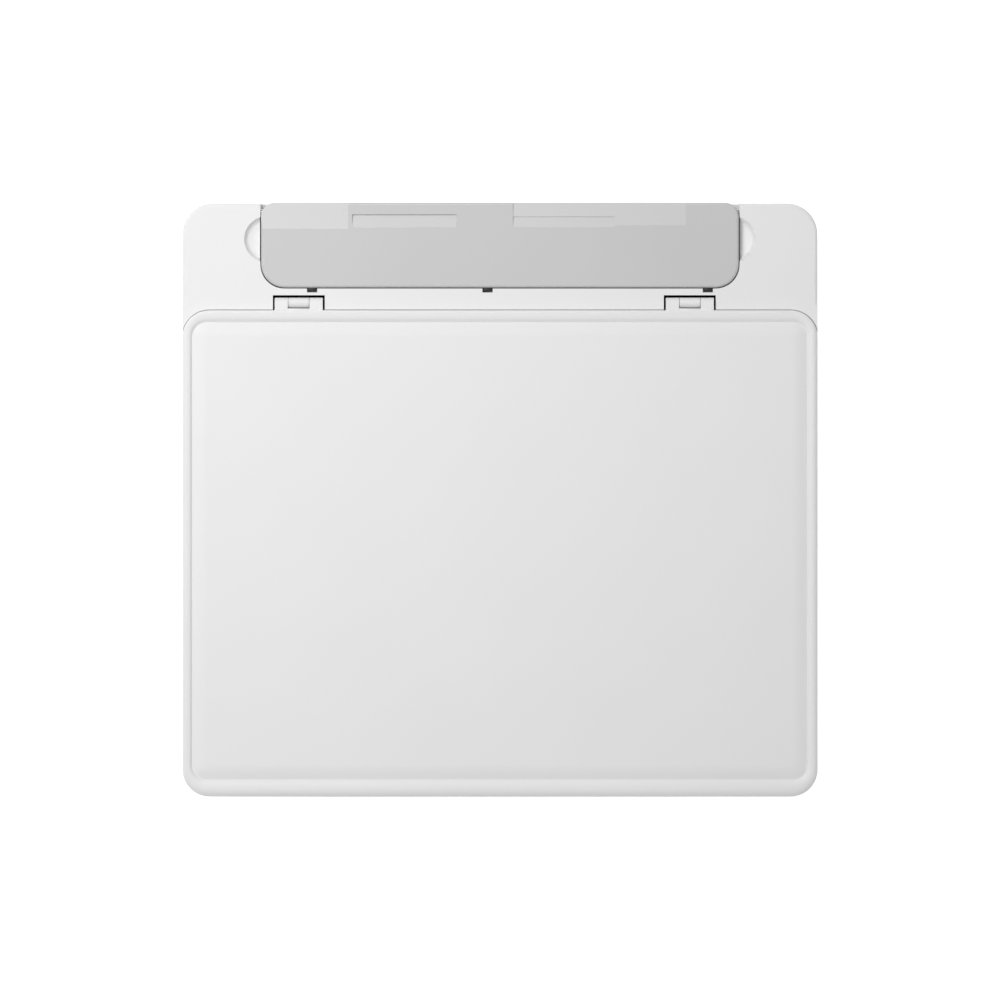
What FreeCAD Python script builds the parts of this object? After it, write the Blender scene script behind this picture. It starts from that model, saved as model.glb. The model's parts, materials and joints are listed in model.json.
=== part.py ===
import FreeCAD, Part
import math
import os
import re

import Sketcher
from FreeCAD import Placement, Rotation, Vector

# Inkjet all-in-one printer: flatbed scanner on top, sheet feeder at the back, paper cassette in front.
# Millimetres. +Z is up, the front of the printer faces -Y, and the origin is at the middle of the
# footprint, on the surface that the rubber feet stand on.

DIMENSIONS = {
    # overall
    "lid_width": 372, "case_width": 372, "front_face": -174, "total_height": 142,
    "case_front": -172, "case_back": 173.6, "rear_edge": 174, "wall": 2.5, "case_radius": 18,
    "seam": 0.3, "break_edge": 0.5, "air": 0.6, "ghost": 5, "turn_gap": 0.06, "pin_radius": 1.6,
    # heights of the seams between the stacked housings
    "base_low": 3, "base_top": 38, "main_top": 100, "bezel_low": 126, "deck_top": 129,
    "rear_top": 139, "rear_front": 111.2, "bezel_back": 110.6,
    # feet
    "foot_radius": 8, "foot_side": 158, "foot_front": -142, "foot_back": 146,
    # lid
    "lid_back": 110.9, "lid_low": 129.6, "lid_radius": 16, "lid_skin": 2.2, "lid_edge": 2.6,
    "rim_side": 5.6, "rim_back": 6.8, "rim_front": 9.6, "groove_depth": 1.3, "groove_width": 1.2,
    "crown_drop": 0.2, "crown_corner": 4, "liner_top": 134, "liner_lift": 1.2, "pad_lap": 1.6,
    "pad_low": 129.3, "pad_width": 316, "pad_front": -150, "pad_back": 86, "pad_radius": 6,
    # lid hinges
    "hinge_left": -117.8, "hinge_right": 111.1, "hinge_width": 28, "hinge_gap": 1.2,
    "hinge_back": 119, "pivot_back": 115.2, "pivot_height": 138.6, "pivot_radius": 1.6,
    "knuckle_radius": 3, "knuckle_width": 12, "hinge_foot": 106, "hinge_post_top": 133,
    "hinge_post_front": 112.8, "hinge_post_back": 118, "hinge_lip": 0.9,
    # scanner
    "glass_width": 306, "glass_depth": 222, "glass_centre": -32, "glass_thick": 2.8, "glass_lap": 6,
    "glass_ledge": 3, "deck_floor": 103, "panel_bay": -163.5, "rod_radius": 3, "rod_height": 111,
    "rack_half": 170, "rack_near": 20, "rack_width": 6, "rack_thick": 2,
    "sensor_width": 16, "sensor_depth": 226, "sensor_low": 116, "sensor_top": 123,
    "sensor_park": -142, "shoe_half": 12, "shoe_low": 106, "hanger_near": 46, "hanger_half": 6,
    "hanger_thick": 3, "lens_half": 4, "lens_end": 5, "scan_pinion_radius": 5, "scan_motor_length": 20,
    # sheet support that folds down over the sheet feeder
    "support_width": 280, "support_front": 124, "support_top": 139.6, "support_skin": 2.2,
    "support_radius": 14, "support_tail": 8.5, "support_low": 130.6, "support_axis": 168.6,
    "support_axis_up": 134.4, "support_ear": 3, "support_edge": 1.5, "support_gap": 0.3,
    "ear_thick": 5, "ear_inset": 4, "back_sill": 126.5,
    "feeder_floor": 111, "mouth_front": 123.5, "mouth_back": 150, "bay_wall": 2,
    "grip_radius": 13.5, "grip_reach": 9.8, "grip_middle": 152.4, "grip_floor": 134.6,
    "extension_half": 92, "extension_low": 133.4, "extension_top": 136.6, "extension_inset": 8,
    "extension_hole": 22, "extension_hole_deep": 10,
    # catches along the front of the sheet support
    "catch_one": -110, "catch_two": -7.3, "catch_three": 121.7, "catch_width": 6, "catch_front": 121.2,
    # output door, which falls open at the front
    "door_width": 300, "door_low": 44, "door_top": 92, "door_thick": 3, "door_gap": 0.8,
    "door_axis_up": 47, "door_axis_front": -169.5, "door_boss": 2.4, "boss_length": 10,
    "door_pin": 1.2, "lug_half": 4, "lug_width": 4, "lug_deep": 8, "corner_small": 2.5,
    # tilting panel with the keys and the display
    "panel_low": 96, "panel_top": 125.5, "panel_width": 330, "panel_back": -165,
    "panel_front": -173.5, "panel_axis_front": -170, "panel_axis_up": 122, "panel_edge": 3.4,
    "panel_pin": 1.5, "panel_skin": 2.4, "panel_side": 3, "seat_width": 3,
    "button_radius": 4.6, "button_front": -173.9, "button_back": -168, "button_rise": 13,
    "button_gap": 0.25, "power_at": -148, "stop_at": 138, "start_at": 118, "select_at": 50,
    "screen_half": 31.8, "screen_rise": 4.2, "screen_drop": 2.2, "screen_thick": 1.1,
    # trays
    "cassette_width": 236, "cassette_low": 5.56, "cassette_top": 30, "cassette_back": 140,
    "cassette_skin": 3, "cassette_floor": 2, "cassette_lip": 5, "drawer_gap": 1.5, "handle_half": 40,
    "handle_drop": 12, "tray_low": 31.16, "tray_top": 36.6, "tray_width": 228, "tray_back": -20,
    "tray_floor": 34.6, "tray_skin": 3, "leaf_low": 32.2, "leaf_top": 33.8, "leaf_width": 140,
    "leaf_back": -70, "fence_outer": 110.5, "fence_thick": 3, "fence_front": -40, "fence_back": 60,
    "fence_foot_front": -10, "fence_foot_back": 30, "fence_drop": 3, "stop_half": 30, "stop_foot": 18,
    "stop_back": 5, "stop_thick": 3, "stop_reach": 30,
    # openings in the back
    "rear_door_half": 110, "rear_door_low": 50, "rear_door_top": 92, "rear_axis": 171.5, "rear_drop": 1,
    "rear_axis_up": 53, "rear_door_thick": 2.6, "inlet_left": 138, "inlet_right": 164, "inlet_low": 48,
    "inlet_top": 66, "port_left": -158, "port_right": -142, "port_low": 48.2, "port_top": 63,
    "turn_rib_first": -96, "turn_rib_pitch": 24, "turn_rib_thick": 1.6, "turn_rib_deep": 10,
    # frame of the printing mechanism
    "frame_low": 38.8, "frame_top": 41.2, "frame_half": 174, "frame_front": -125, "frame_back": 164,
    "frame_gap": 117, "gap_front": -30, "post_side": 150, "post_front": -115, "post_back": 115,
    "post_radius": 5, "screw_radius": 1.5, "screw_length": 18, "head_radius": 3.2,
    "side_plate": 156, "sheet_metal": 1.2, "plate_front": -60, "plate_back": 60, "plate_top": 97,
    "rear_plate_low": 66, "bridge_half": 4, "bracket_gap": 3, "bracket_thick": 3,
    # paper transport
    "roller_back": 46, "roller_height": 55, "roller_radius": 6, "roller_half": 132, "shaft_radius": 4,
    "gear_inner": -146, "gear_width": 6, "gear_radius": 12.4, "pinion_radius": 5, "mesh_gap": 0.1,
    "stub_length": 16, "eject_front": -50, "eject_height": 55, "eject_radius": 5.5, "eject_shaft": 2.5,
    "wheel_width": 12, "pinch_radius": 3, "pinch_up": 64.1, "pinch_top": 67.4, "tie_width": 8,
    "star_radius": 2, "star_up": 62.6, "star_inset": 5, "star_width": 1.2, "link_left": -139.4,
    "link_width": 3.4, "link_radius": 4.6, "motor_radius": 11, "feed_motor_length": 22,
    "drive_motor_length": 24, "platen_low": 47, "platen_top": 60.5, "platen_left": -134,
    "platen_right": 72, "platen_front": -40, "platen_back": 32, "rib_height": 1.4, "rib_pitch": 18,
    "rib_thick": 2, "leg_thick": 9,
    # sheet feeder and cassette arm
    "pickup_back": 103, "pickup_height": 63, "pickup_radius": 11, "pickup_half": 18, "pickup_stub": 8,
    "ramp_foot": 112, "ramp_low": 50, "ramp_length": 82, "ramp_half": 113, "ramp_thick": 2,
    "stand_thick": 3, "guide_outer": 108, "guide_thick": 3, "guide_reach": 9, "guide_start": 60,
    "guide_length": 21, "arm_back": 70, "arm_up": 34.6, "arm_length": 45, "arm_half": 13,
    "arm_radius": 3.8, "arm_thick": 5, "fork_thick": 3, "fork_length": 10,
    # carriage and its drive
    "rod_back": 40, "rod_up": 86, "slide_rod": 4, "carriage_park": 112, "carriage_half": 32,
    "carriage_low": 62, "carriage_top": 92, "carriage_front": -38, "carriage_back": 50, "head_back": 18,
    "head_half": 26, "head_thick": 6, "slider_low": 74, "ink_low": 70.2, "ink_top": 90,
    "ink_front": -40, "ink_back": 12, "ink_width": 27, "ink_offset": 15, "lever_half": 7,
    "belt_up": 78, "belt_front": 50.5, "belt_width": 5, "belt_half": 146, "belt_radius": 6,
    "belt_thick": 0.9, "jaw_half": 8, "jaw_thick": 4, "hub_radius": 2.5,
    "strip_width": 6, "strip_thick": 0.3,
    # cleaning station and waste ink
    "station_half": 30, "station_drop": 6, "wiper_half": 8, "wiper_back": -4, "cap_half": 8,
    "cap_front": -2, "cap_back": 14, "absorber_half": 100, "absorber_top": 30, "absorber_gap": 5,
    # electronics
    "board_left": -172, "board_right": -122, "board_front": 84, "board_back": 163, "board_low": 47,
    "board_top": 48.6, "stand_radius": 2.5, "stand_side": 4, "stand_back": 17, "chip_thick": 2,
    "supply_left": 124, "supply_right": 176, "supply_front": 92, "supply_back": 164, "supply_top": 78,
    "port_deep": 16, "port_mouth": 10, "port_skin": 2.2, "inlet_front": 164, "inlet_skin": 4,
    "inlet_deep": 8, "inlet_pin": 1.1, "inlet_pin_gap": 4, "inlet_pin_length": 3.5,
}

doc = FreeCAD.newDocument("printer")
sheet = doc.addObject("Spreadsheet::Sheet", "Dim")
for row, (alias, size) in enumerate(DIMENSIONS.items(), 1):
    sheet.set(f"A{row}", alias)
    sheet.set(f"B{row}", str(size))
    sheet.setAlias(f"B{row}", alias)
sums = doc.addObject("Spreadsheet::Sheet", "Sums")
doc.recompute()
KEPT = []

TILT = math.radians(27.2)
LEAN = Rotation(Vector(1, 0, 0), -math.degrees(TILT))
SIDES = {"left": -1, "right": 1}
CATCHES = ("catch_one", "catch_two", "catch_three")
HINGES = {"left": "hinge_left", "right": "hinge_right"}
BUTTONS = {"power_button": "power_at", "stop_button": "stop_at", "start_button": "start_at",
           "select_button": "select_at"}
INKS = {"ink_black": "carriage_park - ink_offset", "ink_colour": "carriage_park + ink_offset"}
# left ends of the paired pressure and delivery wheels across the sheet
WHEELS = (-116, -76, -36, 24, 64, 104)
# chips on the main board: left side, front side and size
CHIPS = ((-160, 104, 20), (-136, 108, 10), (-152, 132, 12), (-134, 134, 8))
PINION_BACK = "roller_back + gear_radius + pinion_radius + mesh_gap"
SHAFTS = (("feed", ("roller_back", "roller_height"), "shaft_radius + turn_gap"),
          ("eject", ("eject_front", "eject_height"), "eject_shaft + turn_gap"),
          ("slide", ("rod_back", "rod_up"), "slide_rod"),
          ("pinion", (PINION_BACK, "roller_height"), "eject_shaft + seam"))


# ---------------------------------------------------------------- building tools

def cell(text):
    """A sum of dimensions, each name pointing at its cell of the spreadsheet."""
    return re.sub(r"[a-z][a-z_]+", lambda m: "Dim." + m[0] if m[0] in DIMENSIONS else m[0], str(text))


def number(text):
    """What a sum of dimensions comes to, worked out by the spreadsheet itself."""
    sums.set("A1", f"={cell(text)}")
    sums.recompute()
    return float(sums.get("A1"))


def keep(item, label):
    """Marks a finished sub-part, which is written to a file under this name."""
    item.Label = label
    KEPT.append(item)
    return item


def body(name):
    return doc.addObject("PartDesign::Body", name)


def on_plane(owner, name, role, offset):
    """An empty sketch on one of the body's own planes, moved along the plane's normal."""
    sketch = owner.newObject("Sketcher::SketchObject", name)
    plane = next(o for o in owner.Origin.OriginFeatures if o.Role == role)
    sketch.AttachmentSupport = (plane, [""])
    sketch.MapMode = "FlatFace"
    sketch.setExpression("AttachmentOffset.Base.z", cell(offset))
    return sketch


def bind(sketch, kind, geometry, worth):
    """A driving constraint tied to the spreadsheet: a radius, or a distance from the origin."""
    ends = (geometry,) if kind == "Radius" else (-1, 1, *geometry)
    index = sketch.addConstraint(Sketcher.Constraint(kind, *ends, number(worth)))
    sketch.setExpression(f"Constraints[{index}]", cell(worth))


def draw_rectangle(sketch, sides, corner):
    """A rectangle given by its left, right, low and high sides, with round corners unless corner is 0."""
    left, right, low, high = (number(side) for side in sides)
    r = number(corner)
    ends = [((left + r, low), (right - r, low)), ((right, low + r), (right, high - r)),
            ((right - r, high), (left + r, high)), ((left, high - r), (left, low + r))]
    centres = [(right - r, low + r), (right - r, high - r), (left + r, high - r), (left + r, low + r)]
    lines, arcs = [], []
    for turn, (line, centre) in enumerate(zip(ends, centres)):
        lines.append(sketch.addGeometry(Part.LineSegment(Vector(*line[0]), Vector(*line[1]))))
        if r:
            circle = Part.Circle(Vector(*centre), Vector(0, 0, 1), r)
            start = (turn - 1) * math.pi / 2
            arcs.append(sketch.addGeometry(Part.ArcOfCircle(circle, start, start + math.pi / 2)))
    for turn, line in enumerate(lines):
        following = lines[(turn + 1) % 4]
        if r:
            sketch.addConstraint(Sketcher.Constraint("Tangent", line, 2, arcs[turn], 1))
            sketch.addConstraint(Sketcher.Constraint("Tangent", arcs[turn], 2, following, 1))
        else:
            sketch.addConstraint(Sketcher.Constraint("Coincident", line, 2, following, 1))
        sketch.addConstraint(Sketcher.Constraint(("Horizontal", "Vertical")[turn % 2], line))
    for arc in arcs[1:]:
        sketch.addConstraint(Sketcher.Constraint("Equal", arcs[0], arc))
    if r:
        bind(sketch, "Radius", arcs[0], corner)
    for kind, line, side in zip(("DistanceX", "DistanceX", "DistanceY", "DistanceY"), (3, 1, 0, 2), sides):
        bind(sketch, kind, (lines[line], 1), side)


def draw_circle(sketch, centre, radius):
    middle = Vector(number(centre[0]), number(centre[1]))
    circle = sketch.addGeometry(Part.Circle(middle, Vector(0, 0, 1), number(radius)))
    bind(sketch, "Radius", circle, radius)
    bind(sketch, "DistanceX", (circle, 3), centre[0])
    bind(sketch, "DistanceY", (circle, 3), centre[1])


def feature(owner, kind, name, draw, span, role):
    """A pad or pocket over a span along the plane's normal: low to high in X or Z, or front to back in Y."""
    low, high = span
    starts = {("Pad", "XZ_Plane"): f"-({high})", ("Pocket", "XZ_Plane"): f"-({low})"}
    offset = starts.get((kind, role), low if kind == "Pad" else high)
    sketch = on_plane(owner, name + "_sketch", role, offset)
    draw(sketch)
    made = owner.newObject("PartDesign::" + kind, name)
    made.Profile = sketch
    made.setExpression("Length", cell(f"({high}) - ({low})"))
    sketch.Visibility = False
    before = owner.Shape.Volume if kind == "Pocket" else 0
    doc.recompute()
    if kind == "Pocket" and not owner.Shape.Volume < before:
        raise ValueError(f"{name} cut nothing away")
    return made


def pad(owner, name, sides, span, corner=0, role="XY_Plane"):
    return feature(owner, "Pad", name, lambda s: draw_rectangle(s, sides, corner), span, role)


def pocket(owner, name, sides, span, corner=0, role="XY_Plane"):
    return feature(owner, "Pocket", name, lambda s: draw_rectangle(s, sides, corner), span, role)


def hole(owner, name, centre, radius, span, role="YZ_Plane"):
    return feature(owner, "Pocket", name, lambda s: draw_circle(s, centre, radius), span, role)


def boss(owner, name, centre, radius, span, role="YZ_Plane"):
    return feature(owner, "Pad", name, lambda s: draw_circle(s, centre, radius), span, role)


def round_edges(owner, name, radius, wanted):
    """Rounds the edges of the body's last feature that the test picks by their bounding box."""
    base = owner.Tip
    names = [f"Edge{i}" for i, edge in enumerate(base.Shape.Edges, 1) if wanted(edge.BoundBox)]
    made = owner.newObject("PartDesign::Fillet", name)
    made.Base = (base, names)
    made.setExpression("Radius", cell(radius))
    doc.recompute()
    return made


def at_height(worth):
    """Picks edges that lie in the horizontal plane at this height."""
    z = number(worth)
    return lambda b: abs(b.ZMin - z) < 0.01 and abs(b.ZMax - z) < 0.01


def place(item, base):
    for axis, where in zip("xyz", base):
        item.setExpression(f"Placement.Base.{axis}", cell(where))


def box(name, x, y, z):
    """A block between two sides on each axis."""
    made = doc.addObject("Part::Box", name)
    for size, (low, high) in zip(("Length", "Width", "Height"), (x, y, z)):
        made.setExpression(size, cell(f"({high}) - ({low})"))
    place(made, (x[0], y[0], z[0]))
    return made


def rod(name, radius, start, length, axis="x"):
    """A round bar that runs along an axis from its start."""
    made = doc.addObject("Part::Cylinder", name)
    made.setExpression("Radius", cell(radius))
    made.setExpression("Height", cell(length))
    turns = {"x": Rotation(Vector(0, 1, 0), 90), "y": Rotation(Vector(1, 0, 0), -90), "z": Rotation()}
    made.Placement = Placement(Vector(), turns[axis])
    place(made, start)
    return made


def fuse(name, *items):
    made = doc.addObject("Part::MultiFuse", name)
    made.Shapes = list(items)
    return made


def group(name, *items):
    """Separate solids of one kind that share a sub-part."""
    made = doc.addObject("Part::Compound", name)
    made.Links = list(items)
    return made


def cut(name, base, *tools):
    made = doc.addObject("Part::Cut", name)
    made.Base = base
    made.Tool = tools[0] if len(tools) == 1 else fuse(name + "_tools", *tools)
    return made


def mirror_pair(sum_text):
    """The same place on the left and on the right of the middle."""
    return (f"-({sum_text})", sum_text)


def beside(sign, near, far):
    """The span between two distances from the middle, on the left (-1) or on the right (1)."""
    ends = (f"-({far})", f"-({near})") if sign < 0 else (near, far)
    return ends


HALF_CASE = mirror_pair("case_width / 2")
CASE_SIDES = (*HALF_CASE, "case_front", "case_back")
CASE_INSIDE = (*mirror_pair("case_width / 2 - wall"), "case_front + wall", "case_back - wall")
GRIPS = mirror_pair("support_width / 2 + grip_reach - grip_radius")


def screw_places():
    """Where the frame's four posts stand and their screws come up through the floor."""
    return [(f"{a}_{b}", x, y) for a, x in zip(("left", "right"), mirror_pair("post_side"))
            for b, y in (("front", "post_front"), ("back", "post_back"))]


# ---------------------------------------------------------------- outer housings

def make_base_tray():
    tray = body("base_tray")
    pad(tray, "base_block", CASE_SIDES, ("base_low", "base_top"), "case_radius")
    pocket(tray, "base_hollow", CASE_INSIDE, ("base_low + wall", "base_top"), "case_radius - wall")
    mouth_half = "cassette_width / 2 + drawer_gap"
    mouth = (*mirror_pair(mouth_half), "base_low + wall", "tray_top + seam")
    pocket(tray, "base_mouth", mouth, ("case_front - ghost", "case_front + ghost"), role="XZ_Plane")
    round_edges(tray, "base_edge", "break_edge * 3", at_height("base_low"))
    for side, sign in SIDES.items():
        wall = beside(sign, mouth_half, f"{mouth_half} + bay_wall")
        lip = beside(sign, "tray_width / 2 - lug_half", f"{mouth_half} + 1")
        pad(tray, f"rail_{side}", (*wall, "case_front + 1", "cassette_back - lug_deep"),
            ("base_low + 1", "tray_top"))
        pad(tray, f"ledge_{side}", (*lip, "case_front + wall", "cassette_back - lug_deep"),
            ("cassette_top + seam", "tray_low - turn_gap"))
    for name, x, y in screw_places():
        hole(tray, f"shank_hole_{name}", (x, y), "screw_radius", ("base_low - 1", "base_low + wall + 1"),
             "XY_Plane")
        hole(tray, f"head_seat_{name}", (x, y), "head_radius", ("base_low - 1", "base_low + wall / 2"),
             "XY_Plane")
    keep(tray, "base_tray")
    feet = [rod(f"foot_{i}", "foot_radius", (x, y, 0), "base_low", "z")
            for i, (x, y) in enumerate((x, y) for x in mirror_pair("foot_side")
                                       for y in ("foot_front", "foot_back"))]
    keep(group("feet", *feet), "rubber_feet")


def make_main_case():
    case = body("main_case")
    pad(case, "main_block", CASE_SIDES, ("base_top + seam", "main_top"), "case_radius")
    pocket(case, "main_hollow", CASE_INSIDE, ("base_top + seam", "main_top"), "case_radius - wall")
    door = (*mirror_pair("door_width / 2 + door_gap"), "door_low - door_gap", "door_top + door_gap")
    front = ("case_front - ghost", "case_front + ghost")
    pocket(case, "door_opening", door, front, "1.5", "XZ_Plane")
    above = (*mirror_pair("panel_width / 2 + air"), "panel_low - air", "main_top + ghost")
    pocket(case, "panel_opening", above, ("case_front - ghost", "panel_bay"), role="XZ_Plane")
    back = ("case_back - ghost", "case_back + ghost")
    rear = (*mirror_pair("rear_door_half + air"), "rear_door_low - rear_drop", "rear_door_top + air")
    pocket(case, "rear_opening", rear, back, "1.5", "XZ_Plane")
    for name in ("inlet", "port"):
        sides = (f"{name}_left", f"{name}_right", f"{name}_low", f"{name}_top")
        pocket(case, f"{name}_opening", sides, back, role="XZ_Plane")
    hinges = {"door": ("door_width / 2 + door_gap", ("case_front + wall", "case_front + lug_deep"),
                       ("door_axis_front", "door_axis_up")),
              "rear": ("rear_door_half + air", ("case_back - lug_deep", "case_back - wall"),
                       ("rear_axis", "rear_axis_up"))}
    for name, (reach, deep, axis) in hinges.items():
        for side, sign in SIDES.items():
            wide = beside(sign, reach, f"{reach} + lug_width")
            lug = (*wide, f"{axis[1]} - lug_half", f"{axis[1]} + lug_half")
            pad(case, f"{name}_lug_{side}", lug, deep, role="XZ_Plane")
            hole(case, f"{name}_seat_{side}", axis, "door_pin", wide)
    keep(case, "main_case")


def cheeks(strip):
    """Fills the two corners that the lid's round rear corners leave open."""
    centre = "lid_width / 2 - lid_radius"
    for side, sign in SIDES.items():
        wide = beside(sign, centre, "case_width / 2")
        pad(strip, f"cheek_{side}", (*wide, "lid_back - lid_radius", "rear_front + 1"),
            ("deck_top + seam", "rear_top"))
    for side, middle in zip(SIDES, mirror_pair(centre)):
        hole(strip, f"cheek_bow_{side}", (middle, "lid_back - lid_radius"), "lid_radius + seam",
             ("deck_top", "rear_top + ghost"), "XY_Plane")


def make_rear_housing():
    """The strip behind the lid: feeder mouth, recesses for the hinges and a finger grip at each end."""
    strip = body("rear_housing")
    pad(strip, "rear_block", CASE_SIDES, ("main_top + seam", "rear_top"), "case_radius")
    ahead = (*mirror_pair("case_width / 2 + ghost"), "case_front - ghost", "rear_front")
    pocket(strip, "rear_front_cut", ahead, ("main_top", "rear_top + ghost"))
    round_edges(strip, "rear_edge_round", "break_edge * 4",
                lambda b: at_height("rear_top")(b) and b.YMax > number("rear_front + 1"))
    pocket(strip, "rear_hollow", CASE_INSIDE, ("main_top", "rear_top - wall"), "case_radius - wall")
    pad(strip, "rear_front_wall", (*HALF_CASE, "rear_front", "rear_front + wall"),
        ("main_top + seam", "rear_top"))
    for side, middle in zip(("left", "right"), GRIPS):
        boss(strip, f"grip_cup_{side}", (middle, "grip_middle"), "grip_radius + bay_wall",
             ("grip_floor - bay_wall", "rear_top - wall"), "XY_Plane")
    cheeks(strip)
    bay = mirror_pair("support_width / 2 + support_gap + bay_wall")
    pad(strip, "feeder_block", (*bay, "mouth_front - bay_wall", "case_back - wall"),
        ("feeder_floor - bay_wall", "rear_top - wall"))
    inside = mirror_pair("support_width / 2 + support_gap")
    pocket(strip, "feeder_bay", (*inside, "mouth_front", "case_back - wall"),
           ("feeder_floor", "rear_top + ghost"), "support_radius")
    pocket(strip, "feeder_back", (*inside, "mouth_back", "case_back + ghost"),
           ("back_sill", "rear_top + ghost"))
    pocket(strip, "feeder_throat", (*mirror_pair("ramp_half + 5"), "mouth_front + 2", "mouth_back"),
           ("main_top", "feeder_floor + ghost"))
    for side, sign in SIDES.items():
        span = beside(sign, "support_width / 2 + support_gap", "support_width / 2 + support_gap + bay_wall")
        hole(strip, f"support_seat_{side}", ("support_axis", "support_axis_up"), "pin_radius", span)
    reach = "hinge_width / 2 + hinge_gap"
    for side, middle in HINGES.items():
        well = (f"{middle} - ({reach})", f"{middle} + ({reach})", "rear_front - ghost", "hinge_back + air")
        pocket(strip, f"hinge_well_{side}", well, ("hinge_foot - 1", "rear_top + ghost"))
    for side, middle in zip(("left", "right"), GRIPS):
        hole(strip, f"grip_{side}", (middle, "grip_middle"), "grip_radius",
             ("grip_floor", "rear_top + ghost"), "XY_Plane")
    for place_name in CATCHES:
        notch = (f"{place_name} - catch_width / 2", f"{place_name} + catch_width / 2")
        pocket(strip, f"{place_name}_notch", (*notch, "catch_front", "support_front"),
               ("rear_top - wall - ghost", "rear_top + ghost"))
    keep(strip, "rear_housing")


# ---------------------------------------------------------------- lid and its hinges

def make_lid():
    """A shallow tray-shaped cover: raised rim, groove, and a slightly crowned panel inside it."""
    lid = body("lid_shell")
    outline = (*mirror_pair("lid_width / 2"), "front_face", "lid_back")
    pad(lid, "lid_block", outline, ("lid_low", "total_height"), "lid_radius")
    round_edges(lid, "lid_top_edge", "lid_edge", at_height("total_height"))
    dish = (*mirror_pair("lid_width / 2 - rim_side"), "front_face + rim_front", "lid_back - rim_back")
    pocket(lid, "lid_dish", dish, ("total_height - groove_depth", "total_height"),
           "lid_radius - crown_corner")
    crown = (*mirror_pair("lid_width / 2 - rim_side - groove_width"),
             "front_face + rim_front + groove_width", "lid_back - rim_back - groove_width")
    pad(lid, "lid_crown", crown, ("total_height - groove_depth", "total_height - crown_drop"),
        "lid_radius - crown_corner - 1")
    round_edges(lid, "crown_edge", "groove_depth - crown_drop - 0.1",
                at_height("total_height - crown_drop"))
    inside = (*mirror_pair("lid_width / 2 - lid_skin"), "front_face + lid_skin", "lid_back - lid_skin")
    pocket(lid, "lid_hollow", inside, ("lid_low", "total_height - groove_depth - lid_skin"),
           "lid_radius - lid_skin")
    for side, middle in HINGES.items():
        for name, (low, high) in {"outer": ("-hinge_width / 2", "-knuckle_width / 2 - seam"),
                                  "inner": ("knuckle_width / 2 + seam", "hinge_width / 2")}.items():
            span = (f"{middle} + {low}", f"{middle} + {high}")
            pad(lid, f"ear_{side}_{name}", (*span, "lid_back - lid_skin", "pivot_back"),
                ("pivot_height - knuckle_radius + seam", "pivot_height + knuckle_radius"))
            boss(lid, f"curl_{side}_{name}", ("pivot_back", "pivot_height"), "knuckle_radius", span)
            hole(lid, f"ear_bore_{side}_{name}", ("pivot_back", "pivot_height"),
                 "pivot_radius + turn_gap", span)
        lip = (f"{middle} - knuckle_width / 2 - seam", f"{middle} + knuckle_width / 2 + seam")
        pad(lid, f"lip_{side}", (*lip, "lid_back - lid_skin", "lid_back + hinge_lip"),
            ("pivot_height", "pivot_height + knuckle_radius"))
    keep(lid, "lid_shell")


def make_lid_liner():
    """The plate that closes the lid from below, and the foam pad that presses the document flat."""
    liner = body("lid_liner")
    sides = (*mirror_pair("lid_width / 2 - lid_skin - seam"), "front_face + lid_skin + seam",
             "lid_back - lid_skin - seam")
    pad(liner, "liner_plate", sides, ("lid_low + liner_lift", "liner_top"), "lid_radius - lid_skin - seam")
    pocket(liner, "pad_seat", (*mirror_pair("pad_width / 2 + 1"), "pad_front - 1", "pad_back + 1"),
           ("lid_low", "liner_top - pad_lap"), "pad_radius")
    keep(liner, "lid_liner")
    cushion = body("lid_pad")
    pad(cushion, "pad_block", (*mirror_pair("pad_width / 2"), "pad_front", "pad_back"),
        ("pad_low", "liner_top - pad_lap"), "pad_radius")
    keep(cushion, "lid_pad")


def make_lid_hinges():
    """Each hinge is a post that slides up in its well, with a knuckle between the lid's two ears."""
    posts = []
    for side, middle in HINGES.items():
        wide = (f"{middle} - hinge_width / 2", f"{middle} + hinge_width / 2")
        narrow = (f"{middle} - knuckle_width / 2", f"{middle} + knuckle_width / 2")
        deep = ("hinge_post_front", "hinge_post_back")
        post = box(f"post_{side}", wide, deep, ("hinge_foot", "hinge_post_top"))
        web = box(f"web_{side}", narrow, deep, ("hinge_post_top", "pivot_height"))
        axis = ("pivot_back", "pivot_height")
        knuckle = rod(f"knuckle_{side}", "knuckle_radius", (narrow[0], *axis), "knuckle_width")
        pin = rod(f"hinge_pin_{side}", "pivot_radius", (wide[0], *axis), "hinge_width")
        posts.append(fuse(f"hinge_solid_{side}", post, web, knuckle, pin))
    keep(group("brackets", *posts), "lid_hinges")


# ---------------------------------------------------------------- sheet support over the feeder

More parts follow.
